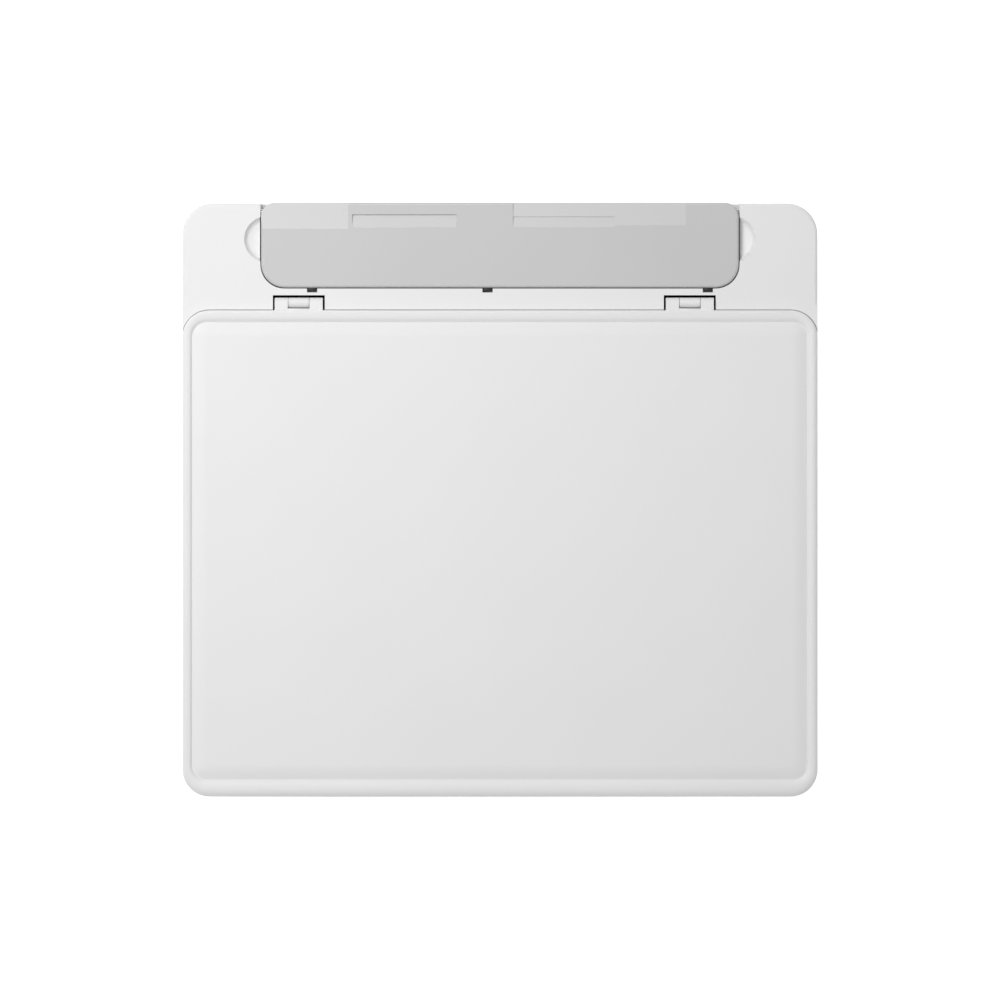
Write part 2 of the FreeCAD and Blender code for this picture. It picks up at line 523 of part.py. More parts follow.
def make_support():
    """A tray-shaped plate with wide front corners and tighter rear ones, hinged near its rear edge."""
    plate = body("paper_support")
    half = mirror_pair("support_width / 2")
    pad(plate, "support_block", (*half, "support_front", "rear_edge"), ("support_low", "support_top"),
        "support_radius")
    pad(plate, "support_rear", (*half, "mouth_back", "rear_edge"), ("support_low", "support_top"),
        "support_tail")
    round_edges(plate, "support_top_edge", "support_edge", at_height("support_top"))
    inside = (*mirror_pair("support_width / 2 - support_skin"), "support_front + support_skin",
              "rear_edge - support_skin")
    pocket(plate, "support_hollow", inside, ("support_low", "support_top - support_skin"),
           "support_radius - support_skin")
    axis = ("support_axis", "support_axis_up")
    for side, sign in SIDES.items():
        ear = beside(sign, "support_width / 2 - ear_inset - ear_thick", "support_width / 2 - ear_inset")
        pad(plate, f"support_ear_{side}", (*ear, "support_axis - support_ear", "support_axis + support_ear"),
            ("support_axis_up", "support_top - support_skin"))
        boss(plate, f"ear_round_{side}", axis, "support_ear", ear)
        through = beside(sign, "support_width / 2 - ear_inset - ear_thick", "support_width / 2 + 1")
        hole(plate, f"ear_hole_{side}", axis, "pin_radius + turn_gap", through)
    for middle in CATCHES:
        tab = (f"{middle} - catch_width / 4", f"{middle} + catch_width / 4")
        pad(plate, f"{middle}_tab", (*tab, "catch_front + air", "support_front + 1"),
            ("rear_top - wall", "rear_top - 1"))
    keep(plate, "paper_support")
    stay = body("support_extension")
    pad(stay, "extension_plate", (*mirror_pair("extension_half"), "support_front + extension_inset",
                                  "rear_edge - extension_inset"), ("extension_low", "extension_top"), "6")
    grip = (*mirror_pair("extension_hole"), "support_front + 1.5 * extension_inset",
            "support_front + 1.5 * extension_inset + extension_hole_deep")
    pocket(stay, "extension_grip", grip, ("extension_low - 1", "extension_top + 1"), "4")
    keep(stay, "support_extension")


# ---------------------------------------------------------------- scanner under the lid

def deck_block(owner, name, span):
    """The case outline as far back as the rear housing."""
    pad(owner, name, CASE_SIDES, span, "case_radius")
    behind = (*mirror_pair("case_width / 2 + ghost"), "bezel_back", "case_back + ghost")
    pocket(owner, name + "_back_cut", behind, (f"{span[0]} - 1", f"{span[1]} + 1"))


def make_scanner():
    tub = body("scanner_base")
    deck_block(tub, "tub_block", ("main_top + seam", "bezel_low - seam"))
    inside = (*mirror_pair("case_width / 2 - wall"), "panel_bay + wall", "bezel_back - wall")
    pocket(tub, "tub_hollow", inside, ("deck_floor", "bezel_low"), "4")
    bay = (*mirror_pair("panel_width / 2 + air"), "case_front - ghost", "panel_bay")
    pocket(tub, "panel_bay_cut", bay, ("main_top", "bezel_low"))
    for side, sign in SIDES.items():
        seat = beside(sign, "panel_width / 2 + air", "panel_width / 2 + air + seat_width")
        hole(tub, f"panel_seat_{side}", ("panel_axis_front", "panel_axis_up"), "panel_pin", seat)
    keep(tub, "scanner_base")
    bezel = body("scanner_bezel")
    deck_block(bezel, "bezel_block", ("bezel_low", "deck_top"))
    pad(bezel, "glass_ledge", around_glass("glass_ledge"), ("bezel_low - wall", "bezel_low"))
    pocket(bezel, "glass_seat", around_glass("seam"), ("bezel_low", "deck_top + 1"))
    pocket(bezel, "glass_window", around_glass("-glass_lap"), ("bezel_low - ghost", "deck_top + 1"))
    keep(bezel, "scanner_bezel")
    glass = body("platen_glass")
    pad(glass, "glass_plate", around_glass("0"), ("bezel_low", "bezel_low + glass_thick"))
    keep(glass, "platen_glass")


def around_glass(margin):
    """The outline of the document glass, grown by a margin."""
    return (*mirror_pair(f"glass_width / 2 + ({margin})"), f"glass_centre - glass_depth / 2 - ({margin})",
            f"glass_centre + glass_depth / 2 + ({margin})")


def make_scan_bar():
    """The image sensor on its rod, with the motor and pinion that climb along the rack."""
    bar = rod("scan_rod_bar", "rod_radius", ("-case_width / 2 + wall", "glass_centre", "rod_height"),
              "case_width - 2 * wall")
    rack = box("rack_bar", mirror_pair("rack_half"),
               ("glass_centre + rack_near", "glass_centre + rack_near + rack_width"),
               ("deck_floor", "deck_floor + rack_thick"))
    keep(group("rails", bar, rack), "scan_rails")
    wide = ("sensor_park - sensor_width / 2", "sensor_park + sensor_width / 2")
    deep = ("glass_centre - sensor_depth / 2", "glass_centre + sensor_depth / 2")
    bar = box("sensor_bar", wide, deep, ("sensor_low", "sensor_top"))
    shoe = box("sensor_shoe", wide, ("glass_centre - shoe_half", "glass_centre + shoe_half"),
               ("shoe_low", "sensor_low"))
    hanger = box("motor_hanger", ("sensor_park - hanger_half", "sensor_park + hanger_half"),
                 ("glass_centre + hanger_near", "glass_centre + hanger_near + hanger_thick"),
                 ("shoe_low", "sensor_low"))
    narrow = ("sensor_park - lens_half", "sensor_park + lens_half")
    within = ("glass_centre - sensor_depth / 2 + lens_end", "glass_centre + sensor_depth / 2 - lens_end")
    seat = box("lens_seat", narrow, within, ("sensor_top - 1", "sensor_top + 1"))
    lens = box("lens_bar", narrow, within, ("sensor_top - 1", "sensor_top - 0.2"))
    bore = rod("sensor_bore", "rod_radius + turn_gap", (wide[0], "glass_centre", "rod_height"),
               "sensor_width")
    drive_up = "deck_floor + rack_thick + mesh_gap + scan_pinion_radius"
    near = ("sensor_park", "glass_centre + rack_near + break_edge", drive_up)
    keep(rod("pinion_disc", "scan_pinion_radius", near, "rack_width - 2 * break_edge", "y"), "scan_pinion")
    can = rod("scan_motor_can", "scan_pinion_radius + air",
              ("sensor_park", "glass_centre + rack_near + rack_width", drive_up), "scan_motor_length", "y")
    head = cut("sensor_body", fuse("sensor_solid", bar, shoe, hanger), bore, seat)
    keep(group("sensor_set", head, lens, can), "scan_sensor")


# ---------------------------------------------------------------- front: panel, door, trays

def make_panel():
    panel = body("operation_panel")
    pad(panel, "panel_block", (*mirror_pair("panel_width / 2"), "panel_low", "panel_top"),
        ("panel_front", "panel_back"), role="XZ_Plane")
    front = number("panel_front")
    round_edges(panel, "panel_top_edge", "panel_edge",
                lambda b: at_height("panel_top")(b) and abs(b.YMax - front) < 0.1)
    inside = (*mirror_pair("panel_width / 2 - panel_side"), "panel_low + 2", "panel_axis_up - 4")
    pocket(panel, "panel_hollow", inside, ("panel_front + panel_skin", "panel_back + 1"), role="XZ_Plane")
    seat = (*mirror_pair("screen_half + 0.2"), "panel_low + screen_rise - 0.2",
            "panel_axis_up - screen_drop + 0.2")
    pocket(panel, "screen_seat", seat, ("panel_front - 1", "panel_front + 1.2"), role="XZ_Plane")
    for name, middle in BUTTONS.items():
        hole(panel, f"{name}_hole", (middle, "panel_low + button_rise"), "button_radius + button_gap",
             ("panel_front - 1", "panel_front + ghost"), "XZ_Plane")
    axis = ("panel_axis_front", "panel_axis_up")
    for side, sign in SIDES.items():
        hole(panel, f"panel_bore_{side}", axis, "panel_pin + turn_gap",
             beside(sign, "panel_width / 2 - ghost", "panel_width / 2"))
    keep(panel, "operation_panel")
    screen = body("panel_screen")
    face = (*mirror_pair("screen_half"), "panel_low + screen_rise", "panel_axis_up - screen_drop")
    depth = ("panel_front + 1.2 - screen_thick", "panel_front + 1.2")
    pad(screen, "screen_plate", face, depth, "1.5", "XZ_Plane")
    keep(screen, "panel_screen")


def make_keys():
    """The four keys, with the flanges that hold them in the panel, and the board behind them."""
    plate = box("button_plate", mirror_pair("panel_width / 2 - panel_side - 0.1"),
                ("panel_back - 2", "panel_back - 0.4"), ("panel_low + 2.1", "panel_axis_up - 4.1"))
    keep(plate, "button_board")
    for name, middle in BUTTONS.items():
        height = "panel_low + button_rise"
        cap = rod(name + "_cap", "button_radius", (middle, "button_front", height),
                  "button_back - button_front", "y")
        flange = rod(name + "_flange", "button_radius + 1",
                     (middle, "panel_front + panel_skin + 0.05", height), "1", "y")
        keep(fuse(name + "_solid", cap, flange), name)


def make_door():
    door = body("output_door")
    pad(door, "door_block", (*mirror_pair("door_width / 2"), "door_low", "door_top"),
        ("case_front", "case_front + door_thick"), "corner_small", "XZ_Plane")
    front = number("case_front")
    round_edges(door, "door_edge", 1, lambda b: abs(b.YMin - front) < 0.01 and abs(b.YMax - front) < 0.01)
    pivot_bosses(door, "door", "door_width / 2", ("door_axis_front", "door_axis_up"))
    keep(door, "output_door")


def pivot_bosses(owner, name, reach, axis):
    """The round bosses at the lower corners of a door, bored for its pins."""
    for side, sign in SIDES.items():
        span = beside(sign, f"{reach} - boss_length", reach)
        boss(owner, f"{name}_boss_{side}", axis, "door_boss", span)
        hole(owner, f"{name}_bore_{side}", axis, "door_pin + turn_gap", span)


def make_output_tray():
    tray = body("output_tray")
    pad(tray, "tray_block", (*mirror_pair("tray_width / 2"), "case_front", "tray_back"),
        ("tray_low", "tray_top"), "3")
    hollow = (*mirror_pair("tray_width / 2 - tray_skin"), "case_front + 4", "tray_back + ghost")
    pocket(tray, "tray_hollow", hollow, ("tray_floor", "tray_top"))
    pocket(tray, "leaf_slot", (*mirror_pair("leaf_width / 2 + seam"), "leaf_low", "leaf_top"),
           ("case_front - 1", "leaf_back + 1"), role="XZ_Plane")
    keep(tray, "output_tray")
    leaf = body("tray_extension")
    pad(leaf, "leaf_plate", (*mirror_pair("leaf_width / 2"), "case_front + break_edge", "leaf_back"),
        ("leaf_low + turn_gap", "leaf_top - turn_gap"), "3")
    keep(leaf, "tray_extension")


def make_cassette():
    """The paper drawer with its two side guides and its end stop."""
    drawer = body("cassette")
    pad(drawer, "drawer_block", (*mirror_pair("cassette_width / 2"), "case_front", "cassette_back"),
        ("cassette_low", "cassette_top"), "3")
    hollow = (*mirror_pair("cassette_width / 2 - cassette_skin"), "case_front + cassette_lip",
              "cassette_back - cassette_skin")
    pocket(drawer, "drawer_hollow", hollow, ("cassette_low + cassette_floor", "cassette_top"), "2")
    grip = (*mirror_pair("handle_half"), "cassette_low + cassette_floor", "cassette_top - handle_drop")
    pocket(drawer, "drawer_grip", grip, ("case_front - 1", "case_front + cassette_skin"), "3", "XZ_Plane")
    keep(drawer, "cassette")
    floor = "cassette_low + cassette_floor + turn_gap"
    tall = (floor, "cassette_top - fence_drop")
    flat = (floor, "cassette_low + 2 * cassette_floor")
    for side, sign in SIDES.items():
        wall = box(f"cassette_wall_{side}", beside(sign, "fence_outer - fence_thick", "fence_outer"),
                   ("fence_front", "fence_back"), tall)
        wide = beside(sign, "fence_outer - 2 * fence_thick", "fence_outer + fence_thick")
        foot = box(f"cassette_foot_{side}", wide, ("fence_foot_front", "fence_foot_back"), flat)
        keep(fuse(f"cassette_guide_solid_{side}", wall, foot), f"cassette_guide_{side}")
    stop = box("end_wall", mirror_pair("stop_half"),
               ("cassette_back - stop_back - stop_thick", "cassette_back - stop_back"), tall)
    foot = box("end_foot", mirror_pair("stop_foot"),
               ("cassette_back - stop_reach", "cassette_back - stop_back - stop_thick"), flat)
    keep(fuse("end_guide_solid", stop, foot), "cassette_end_guide")


# ---------------------------------------------------------------- frame of the printing mechanism

def make_frame():
    frame = body("chassis")
    pad(frame, "frame_plate", (*mirror_pair("frame_half"), "frame_front", "frame_back"),
        ("frame_low", "frame_top"), "8")
    pocket(frame, "frame_gap_cut", (*mirror_pair("frame_gap"), "gap_front", "frame_back + ghost"),
           ("frame_low - 1", "frame_top + 1"))
    for side, sign in SIDES.items():
        metal = beside(sign, "side_plate", "side_plate + sheet_metal")
        pad(frame, f"cheek_{side}", (*metal, "plate_front", "plate_back + sheet_metal"),
            ("frame_top - 0.5", "plate_top"))
        for name, centre, radius in SHAFTS:
            hole(frame, f"{name}_hole_{side}", centre, radius, metal)
    pad(frame, "rear_plate", (*mirror_pair("side_plate"), "plate_back", "plate_back + sheet_metal"),
        ("rear_plate_low", "plate_top"))
    for name, middle in {"pickup": "pickup_back", "arm": "arm_back"}.items():
        deep = (f"{middle} - bridge_half", f"{middle} + bridge_half")
        pad(frame, f"{name}_bridge", (*mirror_pair("frame_gap + bracket_gap"), *deep),
            ("frame_low", "frame_top"))
    make_brackets(frame)
    for name, x, y in screw_places():
        boss(frame, f"post_{name}", (x, y), "post_radius", ("base_low + wall", "frame_low + 0.5"), "XY_Plane")
        hole(frame, f"post_bore_{name}", (x, y), "screw_radius", ("base_low", "base_low + screw_length + 2"),
             "XY_Plane")
    keep(frame, "chassis")


def make_brackets(frame):
    """The posts that carry the pickup shaft, and the lugs that the cassette arm hangs from."""
    for side, sign in SIDES.items():
        post = beside(sign, "pickup_half + bracket_gap", "pickup_half + bracket_gap + bracket_thick")
        pad(frame, f"pickup_post_{side}", (*post, "pickup_back - bridge_half", "pickup_back + bridge_half"),
            ("frame_top - 0.5", "pickup_height + ghost"))
        hole(frame, f"pickup_hole_{side}", ("pickup_back", "pickup_height"), "eject_shaft + turn_gap", post)
        lug = beside(sign, "arm_half + 0.4", "arm_half + 0.4 + bracket_thick")
        pad(frame, f"arm_lug_{side}", (*lug, "arm_back - bridge_half", "arm_back + bridge_half"),
            ("cassette_top + 1", "frame_low + 0.5"))
        hole(frame, f"arm_hole_{side}", ("arm_back", "arm_up"), "pin_radius", lug)


def make_screws():
    screws = []
    for name, x, y in screw_places():
        head = rod(f"head_{name}", "head_radius", (x, y, "base_low + 0.2"), "wall / 2 - 0.2", "z")
        shank = rod(f"shank_{name}", "screw_radius", (x, y, "base_low + 0.4"), "screw_length", "z")
        screws.append(fuse(f"screw_{name}", head, shank))
    keep(group("screws", *screws), "case_screws")


def make_pivots():
    """The fixed pins that the doors, the panel, the sheet support and the cassette arm turn on."""
    half = {"support": ("support_width / 2 - ear_inset - ear_thick",
                        "support_width / 2 + support_gap + bay_wall",
                        ("support_axis", "support_axis_up"), "pin_radius"),
            "door": ("door_width / 2 - boss_length + 2", "door_width / 2 + door_gap + lug_width",
                     ("door_axis_front", "door_axis_up"), "door_pin"),
            "rear": ("rear_door_half - boss_length + 2", "rear_door_half + air + lug_width",
                     ("rear_axis", "rear_axis_up"), "door_pin"),
            "panel": ("panel_width / 2 - ghost + 1", "panel_width / 2 + air + seat_width",
                      ("panel_axis_front", "panel_axis_up"), "panel_pin"),
            "arm": ("arm_half - 4", "arm_half + 0.4 + bracket_thick", ("arm_back", "arm_up"), "pin_radius")}
    pins = []
    for name, (near, far, axis, radius) in half.items():
        length = f"({far}) - ({near})"
        pins.append(rod(f"{name}_pin_left", radius, (f"-({far})", *axis), length))
        pins.append(rod(f"{name}_pin_right", radius, (near, *axis), length))
    keep(group("fixed_pins", *pins), "pivot_pins")


# ---------------------------------------------------------------- paper transport

def make_rollers():
    """The feed roller and the delivery roller, joined by a belt, and the pinion that drives them."""
    axis = ("roller_back", "roller_height")
    whole = "-side_plate - sheet_metal - 1"
    full = "2 * (side_plate + sheet_metal + 1)"
    shaft = rod("feed_shaft", "shaft_radius", (whole, *axis), full)
    sleeve = rod("feed_sleeve", "roller_radius", ("-roller_half", *axis), "2 * roller_half")
    gear = rod("feed_gear", "gear_radius", ("gear_inner", *axis), "gear_width")
    link = rod("feed_link", "link_radius", ("link_left", *axis), "link_width")
    keep(fuse("feed_solid", shaft, sleeve, gear, link), "feed_roller")
    axis = ("eject_front", "eject_height")
    shaft = rod("eject_shaft_bar", "eject_shaft", (whole, *axis), full)
    wheels = [rod(f"eject_wheel_{i}", "eject_radius", (x, *axis), "wheel_width")
              for i, x in enumerate(WHEELS)]
    link = rod("eject_link", "link_radius", ("link_left", *axis), "link_width")
    keep(fuse("eject_solid", shaft, *wheels, link), "eject_roller")
    disc = rod("pinion_wheel", "pinion_radius", ("gear_inner", PINION_BACK, "roller_height"), "gear_width")
    stub = rod("pinion_stub", "eject_shaft", (whole, PINION_BACK, "roller_height"), "stub_length")
    keep(fuse("pinion_solid", disc, stub), "feed_pinion")
    can = rod("feed_motor_can", "motor_radius",
              ("-side_plate - sheet_metal - 1 - seam - feed_motor_length", PINION_BACK, "roller_height"),
              "feed_motor_length")
    drive = rod("drive_can", "motor_radius", ("belt_half", "plate_back + sheet_metal", "belt_up"),
                "drive_motor_length", "y")
    keep(group("motors", can, drive), "drive_motors")


def make_pressure_wheels():
    """The bars above the two rollers, with the wheels that hold the sheet down."""
    nips, stars = [], []
    for i, x in enumerate(WHEELS):
        nips.append(rod(f"pinch_{i}", "pinch_radius", (x, "roller_back", "pinch_up"), "wheel_width"))
        star = (f"{x} + star_inset", "eject_front", "star_up")
        stars.append(rod(f"star_{i}", "star_radius", star, "star_width"))
    pinch = box("pinch_bar", ("link_left", "side_plate"), ("roller_back + 4", "roller_back + 7"),
                ("pinch_up - 1", "pinch_top"))
    ties = [box(f"pinch_tie_{i}", (x, f"{x} + tie_width"), ("roller_back + 7", "plate_back"),
                ("pinch_up", "pinch_top")) for i, x in enumerate(WHEELS)]
    star = box("star_bar", mirror_pair("side_plate"), ("eject_front - 6", "eject_front + 6"),
               ("star_up + star_radius + 0.1", "star_up + star_radius + 2.4"))
    keep(group("wheel_set", fuse("pinch_solid", pinch, *ties), star, *nips, *stars), "pressure_wheels")


def make_platen():
    across, deep = ("platen_left", "platen_right"), ("platen_front", "platen_back")
    plate = box("platen_block", across, deep, ("platen_low", "platen_top - rib_height"))
    starts = [f"platen_left + 4 + {i} * rib_pitch" for i in range(12)]
    ribs = [box(f"platen_rib_{i}", (x, f"{x} + rib_thick"), deep, ("platen_top - 2", "platen_top"))
            for i, x in enumerate(starts)]
    leg = box("platen_leg", across, ("gap_front - leg_thick", "gap_front"), ("frame_top", "platen_low"))
    keep(fuse("platen_solid", plate, leg, *ribs), "platen")


# ---------------------------------------------------------------- sheet feeder

def make_ramp():
    """The sloping plate that the sheets rest on, and the two guides that slide across it."""
    ramp = box("ramp_plate", mirror_pair("ramp_half"), ("ramp_foot", "ramp_foot + ramp_thick"),
               ("ramp_low", "ramp_low + ramp_length"))
    ramp.Placement = Placement(ramp.Placement.Base, LEAN)
    foot = box("ramp_stand", mirror_pair("ramp_half"), ("ramp_foot", "ramp_foot + stand_thick"),
               ("frame_top - 2", "ramp_low + 2"))
    keep(fuse("ramp_solid", ramp, foot), "sheet_ramp")
    along, off = "guide_start", "guide_reach + turn_gap"
    back = f"ramp_foot + ({along}) * {math.sin(TILT):.5f} - ({off}) * {math.cos(TILT):.5f}"
    height = f"ramp_low + ({along}) * {math.cos(TILT):.5f} + ({off}) * {math.sin(TILT):.5f}"
    for side, sign in SIDES.items():
        wide = beside(sign, "guide_outer - guide_thick", "guide_outer")
        fence = box(f"fence_{side}", wide, (0, "guide_reach"), (0, "guide_length"))
        fence.Placement = Placement(Vector(), LEAN)
        place(fence, (wide[0], back, height))
        keep(fence, f"sheet_guide_{side}")


def make_pickup():
    """The roller that picks a sheet from the ramp, and the arm that picks one from the cassette."""
    axis = ("pickup_back", "pickup_height")
    shaft = rod("pickup_shaft", "eject_shaft", ("-pickup_half - pickup_stub", *axis),
                "2 * (pickup_half + pickup_stub)")
    tyre = rod("pickup_tyre", "pickup_radius", ("-pickup_half", *axis), "2 * pickup_half")
    keep(fuse("pickup_solid", shaft, tyre), "pickup_roller")
    tip, up = "arm_back + arm_length", ("arm_up - arm_thick / 2", "arm_up + arm_thick / 2")
    arm = box("arm_block", mirror_pair("arm_half"), ("arm_back - 3", f"{tip} - arm_radius - 1"), up)
    bore = rod("arm_bore", "pin_radius + turn_gap", ("-arm_half", "arm_back", "arm_up"), "2 * arm_half")
    tyre = rod("arm_tyre", "arm_radius", ("-arm_half + fork_thick", tip, "arm_up"),
               "2 * (arm_half - fork_thick)")
    fork = [box(f"arm_fork_{side}", beside(sign, "arm_half - fork_thick", "arm_half"),
                (f"{tip} - fork_length", f"{tip} + 2"), up) for side, sign in SIDES.items()]
    keep(group("arm_set", cut("arm_shape", fuse("arm_solid", arm, *fork), bore), tyre), "pickup_arm")


# ---------------------------------------------------------------- carriage, ink and cleaning station

def make_carriage():
    wide = ("carriage_park - carriage_half", "carriage_park + carriage_half")
    block = body("carriage")
    pad(block, "carriage_head", (*wide, "carriage_front", "head_back"),
        ("carriage_low + head_thick", "carriage_top"), "3")
    pad(block, "carriage_slider", (*wide, "head_back - 3", "carriage_back"), ("slider_low", "carriage_top"))
    for name, middle in INKS.items():
        slot = (f"{middle} - ink_width / 2 - 0.2", f"{middle} + ink_width / 2 + 0.2")
        pocket(block, f"{name}_slot", (*slot, "ink_low - turn_gap", "ink_top + 0.2"),
               ("carriage_front - 1", "ink_back + seam"), role="XZ_Plane")
    hole(block, "rod_bore", ("rod_back", "rod_up"), "slide_rod + turn_gap", wide)
    jaw = ("carriage_park - jaw_half", "carriage_park + jaw_half", "carriage_back - jaw_thick")
    low = "belt_up - belt_radius - jaw_thick"
    for name, span in {"upper": ("belt_up - belt_radius + turn_gap", "slider_low + 1"),
                       "lower": (low, "belt_up - belt_radius - belt_thick - turn_gap")}.items():
        pad(block, f"jaw_{name}", (*jaw, "belt_front + 4"), span)
    pad(block, "jaw_web", (*jaw, "carriage_back"), (low, "slider_low + 1"))
    keep(block, "carriage")
    keep(box("head_block", ("carriage_park - head_half", "carriage_park + head_half"),
             ("carriage_front + head_thick", "head_back - head_thick"),
             ("carriage_low", "carriage_low + head_thick")), "print_head")
    keep(rod("slide_bar", "slide_rod", ("-side_plate - sheet_metal", "rod_back", "rod_up"),
             "2 * (side_plate + sheet_metal)"), "carriage_rail")


def make_ink():
    """Two tanks, each with a lever at its front that snaps it into the carriage."""
    for name, middle in INKS.items():
        side = (f"{middle} - ink_width / 2", f"{middle} + ink_width / 2")
        tank = box(f"{name}_tank", side, ("ink_front + 2", "ink_back"), ("ink_low", "ink_top"))
        lever = box(f"{name}_lever", (f"{middle} - lever_half", f"{middle} + lever_half"),
                    ("ink_front - 2", "ink_front + 2"), ("ink_low + 4", "ink_top - 3"))
        keep(fuse(f"{name}_solid", tank, lever), name)


def make_belts():
    """The carriage belt with its two pulleys, the belt between the rollers, and the position strip."""
    belt = body("timing_belt")
    span = ("belt_front", "belt_front + belt_width")
    for kind, name, r in ((pad, "belt_outside", "belt_radius + belt_thick"),
                          (pocket, "belt_inside", "belt_radius")):
        kind(belt, name, (f"-belt_half - ({r})", f"belt_half + {r}", f"belt_up - ({r})", f"belt_up + {r}"),
             span, f"{r} - 0.01", "XZ_Plane")
    link = body("link_belt")
    span = ("link_left + 0.2", "link_left + link_width - 0.2")
    for kind, name, r in ((pad, "link_outside", "link_radius + belt_thick"),
                          (pocket, "link_inside", "link_radius + turn_gap")):
        kind(link, name, (f"eject_front - ({r})", f"roller_back + {r}", f"roller_height - ({r})",
                          f"roller_height + {r}"), span, f"{r} - 0.01", "YZ_Plane")
    keep(group("belts", belt, link), "timing_belts")
    for name, x in {"motor_pulley": "belt_half", "idler_pulley": "-belt_half"}.items():
        drum = rod(name + "_drum", "belt_radius - turn_gap", (x, "belt_front - 0.4", "belt_up"),
                   "belt_width + 0.8", "y")
        hub = rod(name + "_hub", "hub_radius", (x, "belt_front - 0.4", "belt_up"),
                  "plate_back - belt_front + 0.4", "y")
        keep(fuse(name + "_solid", drum, hub), name)
    keep(box("strip", mirror_pair("side_plate"), ("plate_back - 3", "plate_back - 3 + strip_thick"),
             ("plate_top - strip_width - 3", "plate_top - 3")), "encoder_strip")


def make_station():
    """Where the carriage parks: caps for the nozzles, a wiper that sweeps them, and the waste-ink pad."""
    top = "carriage_low - station_drop"
    tub = box("station_block", ("carriage_park - station_half", "carriage_park + station_half"),
              ("carriage_front", "head_back"), ("frame_top", top))
    groove = box("wiper_groove", ("carriage_park - wiper_half", "carriage_park + wiper_half"),
                 ("carriage_front - 1", "wiper_back"), (f"{top} - 2", f"{top} + 1"))
    caps = [box(f"cap_{n}", (f"{x} - cap_half", f"{x} + cap_half"), ("cap_front", "cap_back"),
                (top, "carriage_low - seam")) for n, x in enumerate(INKS.values())]
    keep(group("station", cut("station_shape", tub, groove), *caps), "purge_unit")
    shoe = box("wiper_shoe", ("carriage_park - wiper_half + 0.1", "carriage_park + wiper_half - 0.1"),
               ("carriage_front + 1", "carriage_front + 9"), (f"{top} - 2 + turn_gap", f"{top} + 2"))
    blade = box("wiper_blade", ("carriage_park - wiper_half + 1", "carriage_park + wiper_half - 1"),
                ("carriage_front + 4.4", "carriage_front + 5.6"), (f"{top} + 2", "carriage_low - 0.1"))
    keep(fuse("wiper_solid", shoe, blade), "wiper")
    keep(box("absorber", ("cassette_width / 2 + absorber_gap", "case_width / 2 - wall - 1"),
             mirror_pair("absorber_half"), ("base_low + wall", "absorber_top")), "ink_absorber")


# ---------------------------------------------------------------- electronics and the back

def make_board():
    board = box("board_plate", ("board_left", "board_right"), ("board_front", "board_back"),
                ("board_low", "board_top"))
    corners = [(x, y) for x in ("board_left + stand_side", "board_right - stand_side")
               for y in ("board_front + stand_side", "board_back - stand_back")]
    stands = [rod(f"board_stand_{i}", "stand_radius", (x, y, "frame_top"), "board_low - frame_top", "z")
              for i, (x, y) in enumerate(corners)]
    chips = [box(f"chip_{i}", (x, x + size), (y, y + size), ("board_top", "board_top + chip_thick"))
             for i, (x, y, size) in enumerate(CHIPS)]
    keep(fuse("board_solid", board, *stands, *chips), "main_board")
    keep(box("supply_case", ("supply_left", "supply_right"), ("supply_front", "supply_back"),
             ("frame_top", "supply_top")), "power_supply")


def make_sockets():
    """The data port on the main board and the mains inlet on the power supply."""
    shell = box("port_shell", ("port_left + 1", "port_right - 1"), ("case_back - port_deep", "case_back"),
                ("board_top", "port_top - 1"))
    mouth = box("port_mouth", ("port_left + 1 + port_skin", "port_right - 1 - port_skin"),
                ("case_back - port_mouth", "case_back + 1"),
                ("board_top + port_skin", "port_top - 1 - port_skin"))
    inlet = box("inlet_block", ("inlet_left + seam", "inlet_right - seam"), ("inlet_front", "case_back"),
                ("inlet_low + seam", "inlet_top - seam"))
    well = box("inlet_well", ("inlet_left + inlet_skin", "inlet_right - inlet_skin"),
               ("case_back - inlet_deep", "case_back + 1"),
               ("inlet_low + inlet_skin", "inlet_top - inlet_skin"))
    middle = "(inlet_left + inlet_right) / 2"
    pins = [rod(f"inlet_pin_{i}", "inlet_pin", (x, "case_back - inlet_deep", "(inlet_low + inlet_top) / 2"),
                "inlet_pin_length", "y")
            for i, x in enumerate((f"{middle} - inlet_pin_gap", f"{middle} + inlet_pin_gap"))]
    keep(group("sockets", cut("port_shape", shell, mouth), cut("inlet_shape", inlet, well), *pins),
         "rear_sockets")


def make_rear_cover():
    """The cover at the back, whose ribs turn the sheet round from the cassette."""
    cover = body("transport_cover")
    pad(cover, "cover_block", (*mirror_pair("rear_door_half"), "rear_door_low", "rear_door_top"),
        ("case_back - rear_door_thick", "case_back"), "corner_small", "XZ_Plane")
    pivot_bosses(cover, "cover", "rear_door_half", ("rear_axis", "rear_axis_up"))
    for i in range(9):
        left = f"turn_rib_first + {i} * turn_rib_pitch"
        sides = (left, f"{left} + turn_rib_thick", "rear_door_low + lug_deep", "rear_door_top - 4")
        pad(cover, f"cover_rib_{i}", sides,
            ("case_back - turn_rib_deep", "case_back - rear_door_thick + 0.1"), role="XZ_Plane")
    keep(cover, "transport_cover")


def finish():
    doc.recompute()
    for item in doc.Objects:
        if {"Invalid", "Error"} & set(item.State):
            raise RuntimeError(f"{item.Name} did not build: {item.State}")
    os.makedirs("parts", exist_ok=True)
    for item in KEPT:
        if item.Shape.isNull() or not item.Shape.isValid():
            raise RuntimeError(f"{item.Label} has no valid shape")
        item.Shape.exportStep(f"parts/{item.Label}.step")


make_base_tray()
make_main_case()
make_rear_housing()
make_lid()
make_lid_liner()
make_lid_hinges()
make_support()
make_scanner()
make_scan_bar()
make_panel()
make_keys()
make_door()
make_output_tray()
make_cassette()
make_frame()
make_screws()
make_pivots()
make_rollers()
make_pressure_wheels()
make_platen()
make_ramp()
make_pickup()
make_carriage()
make_ink()
make_belts()
make_station()
make_board()
make_sockets()
make_rear_cover()
finish()
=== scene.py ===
import json
import math

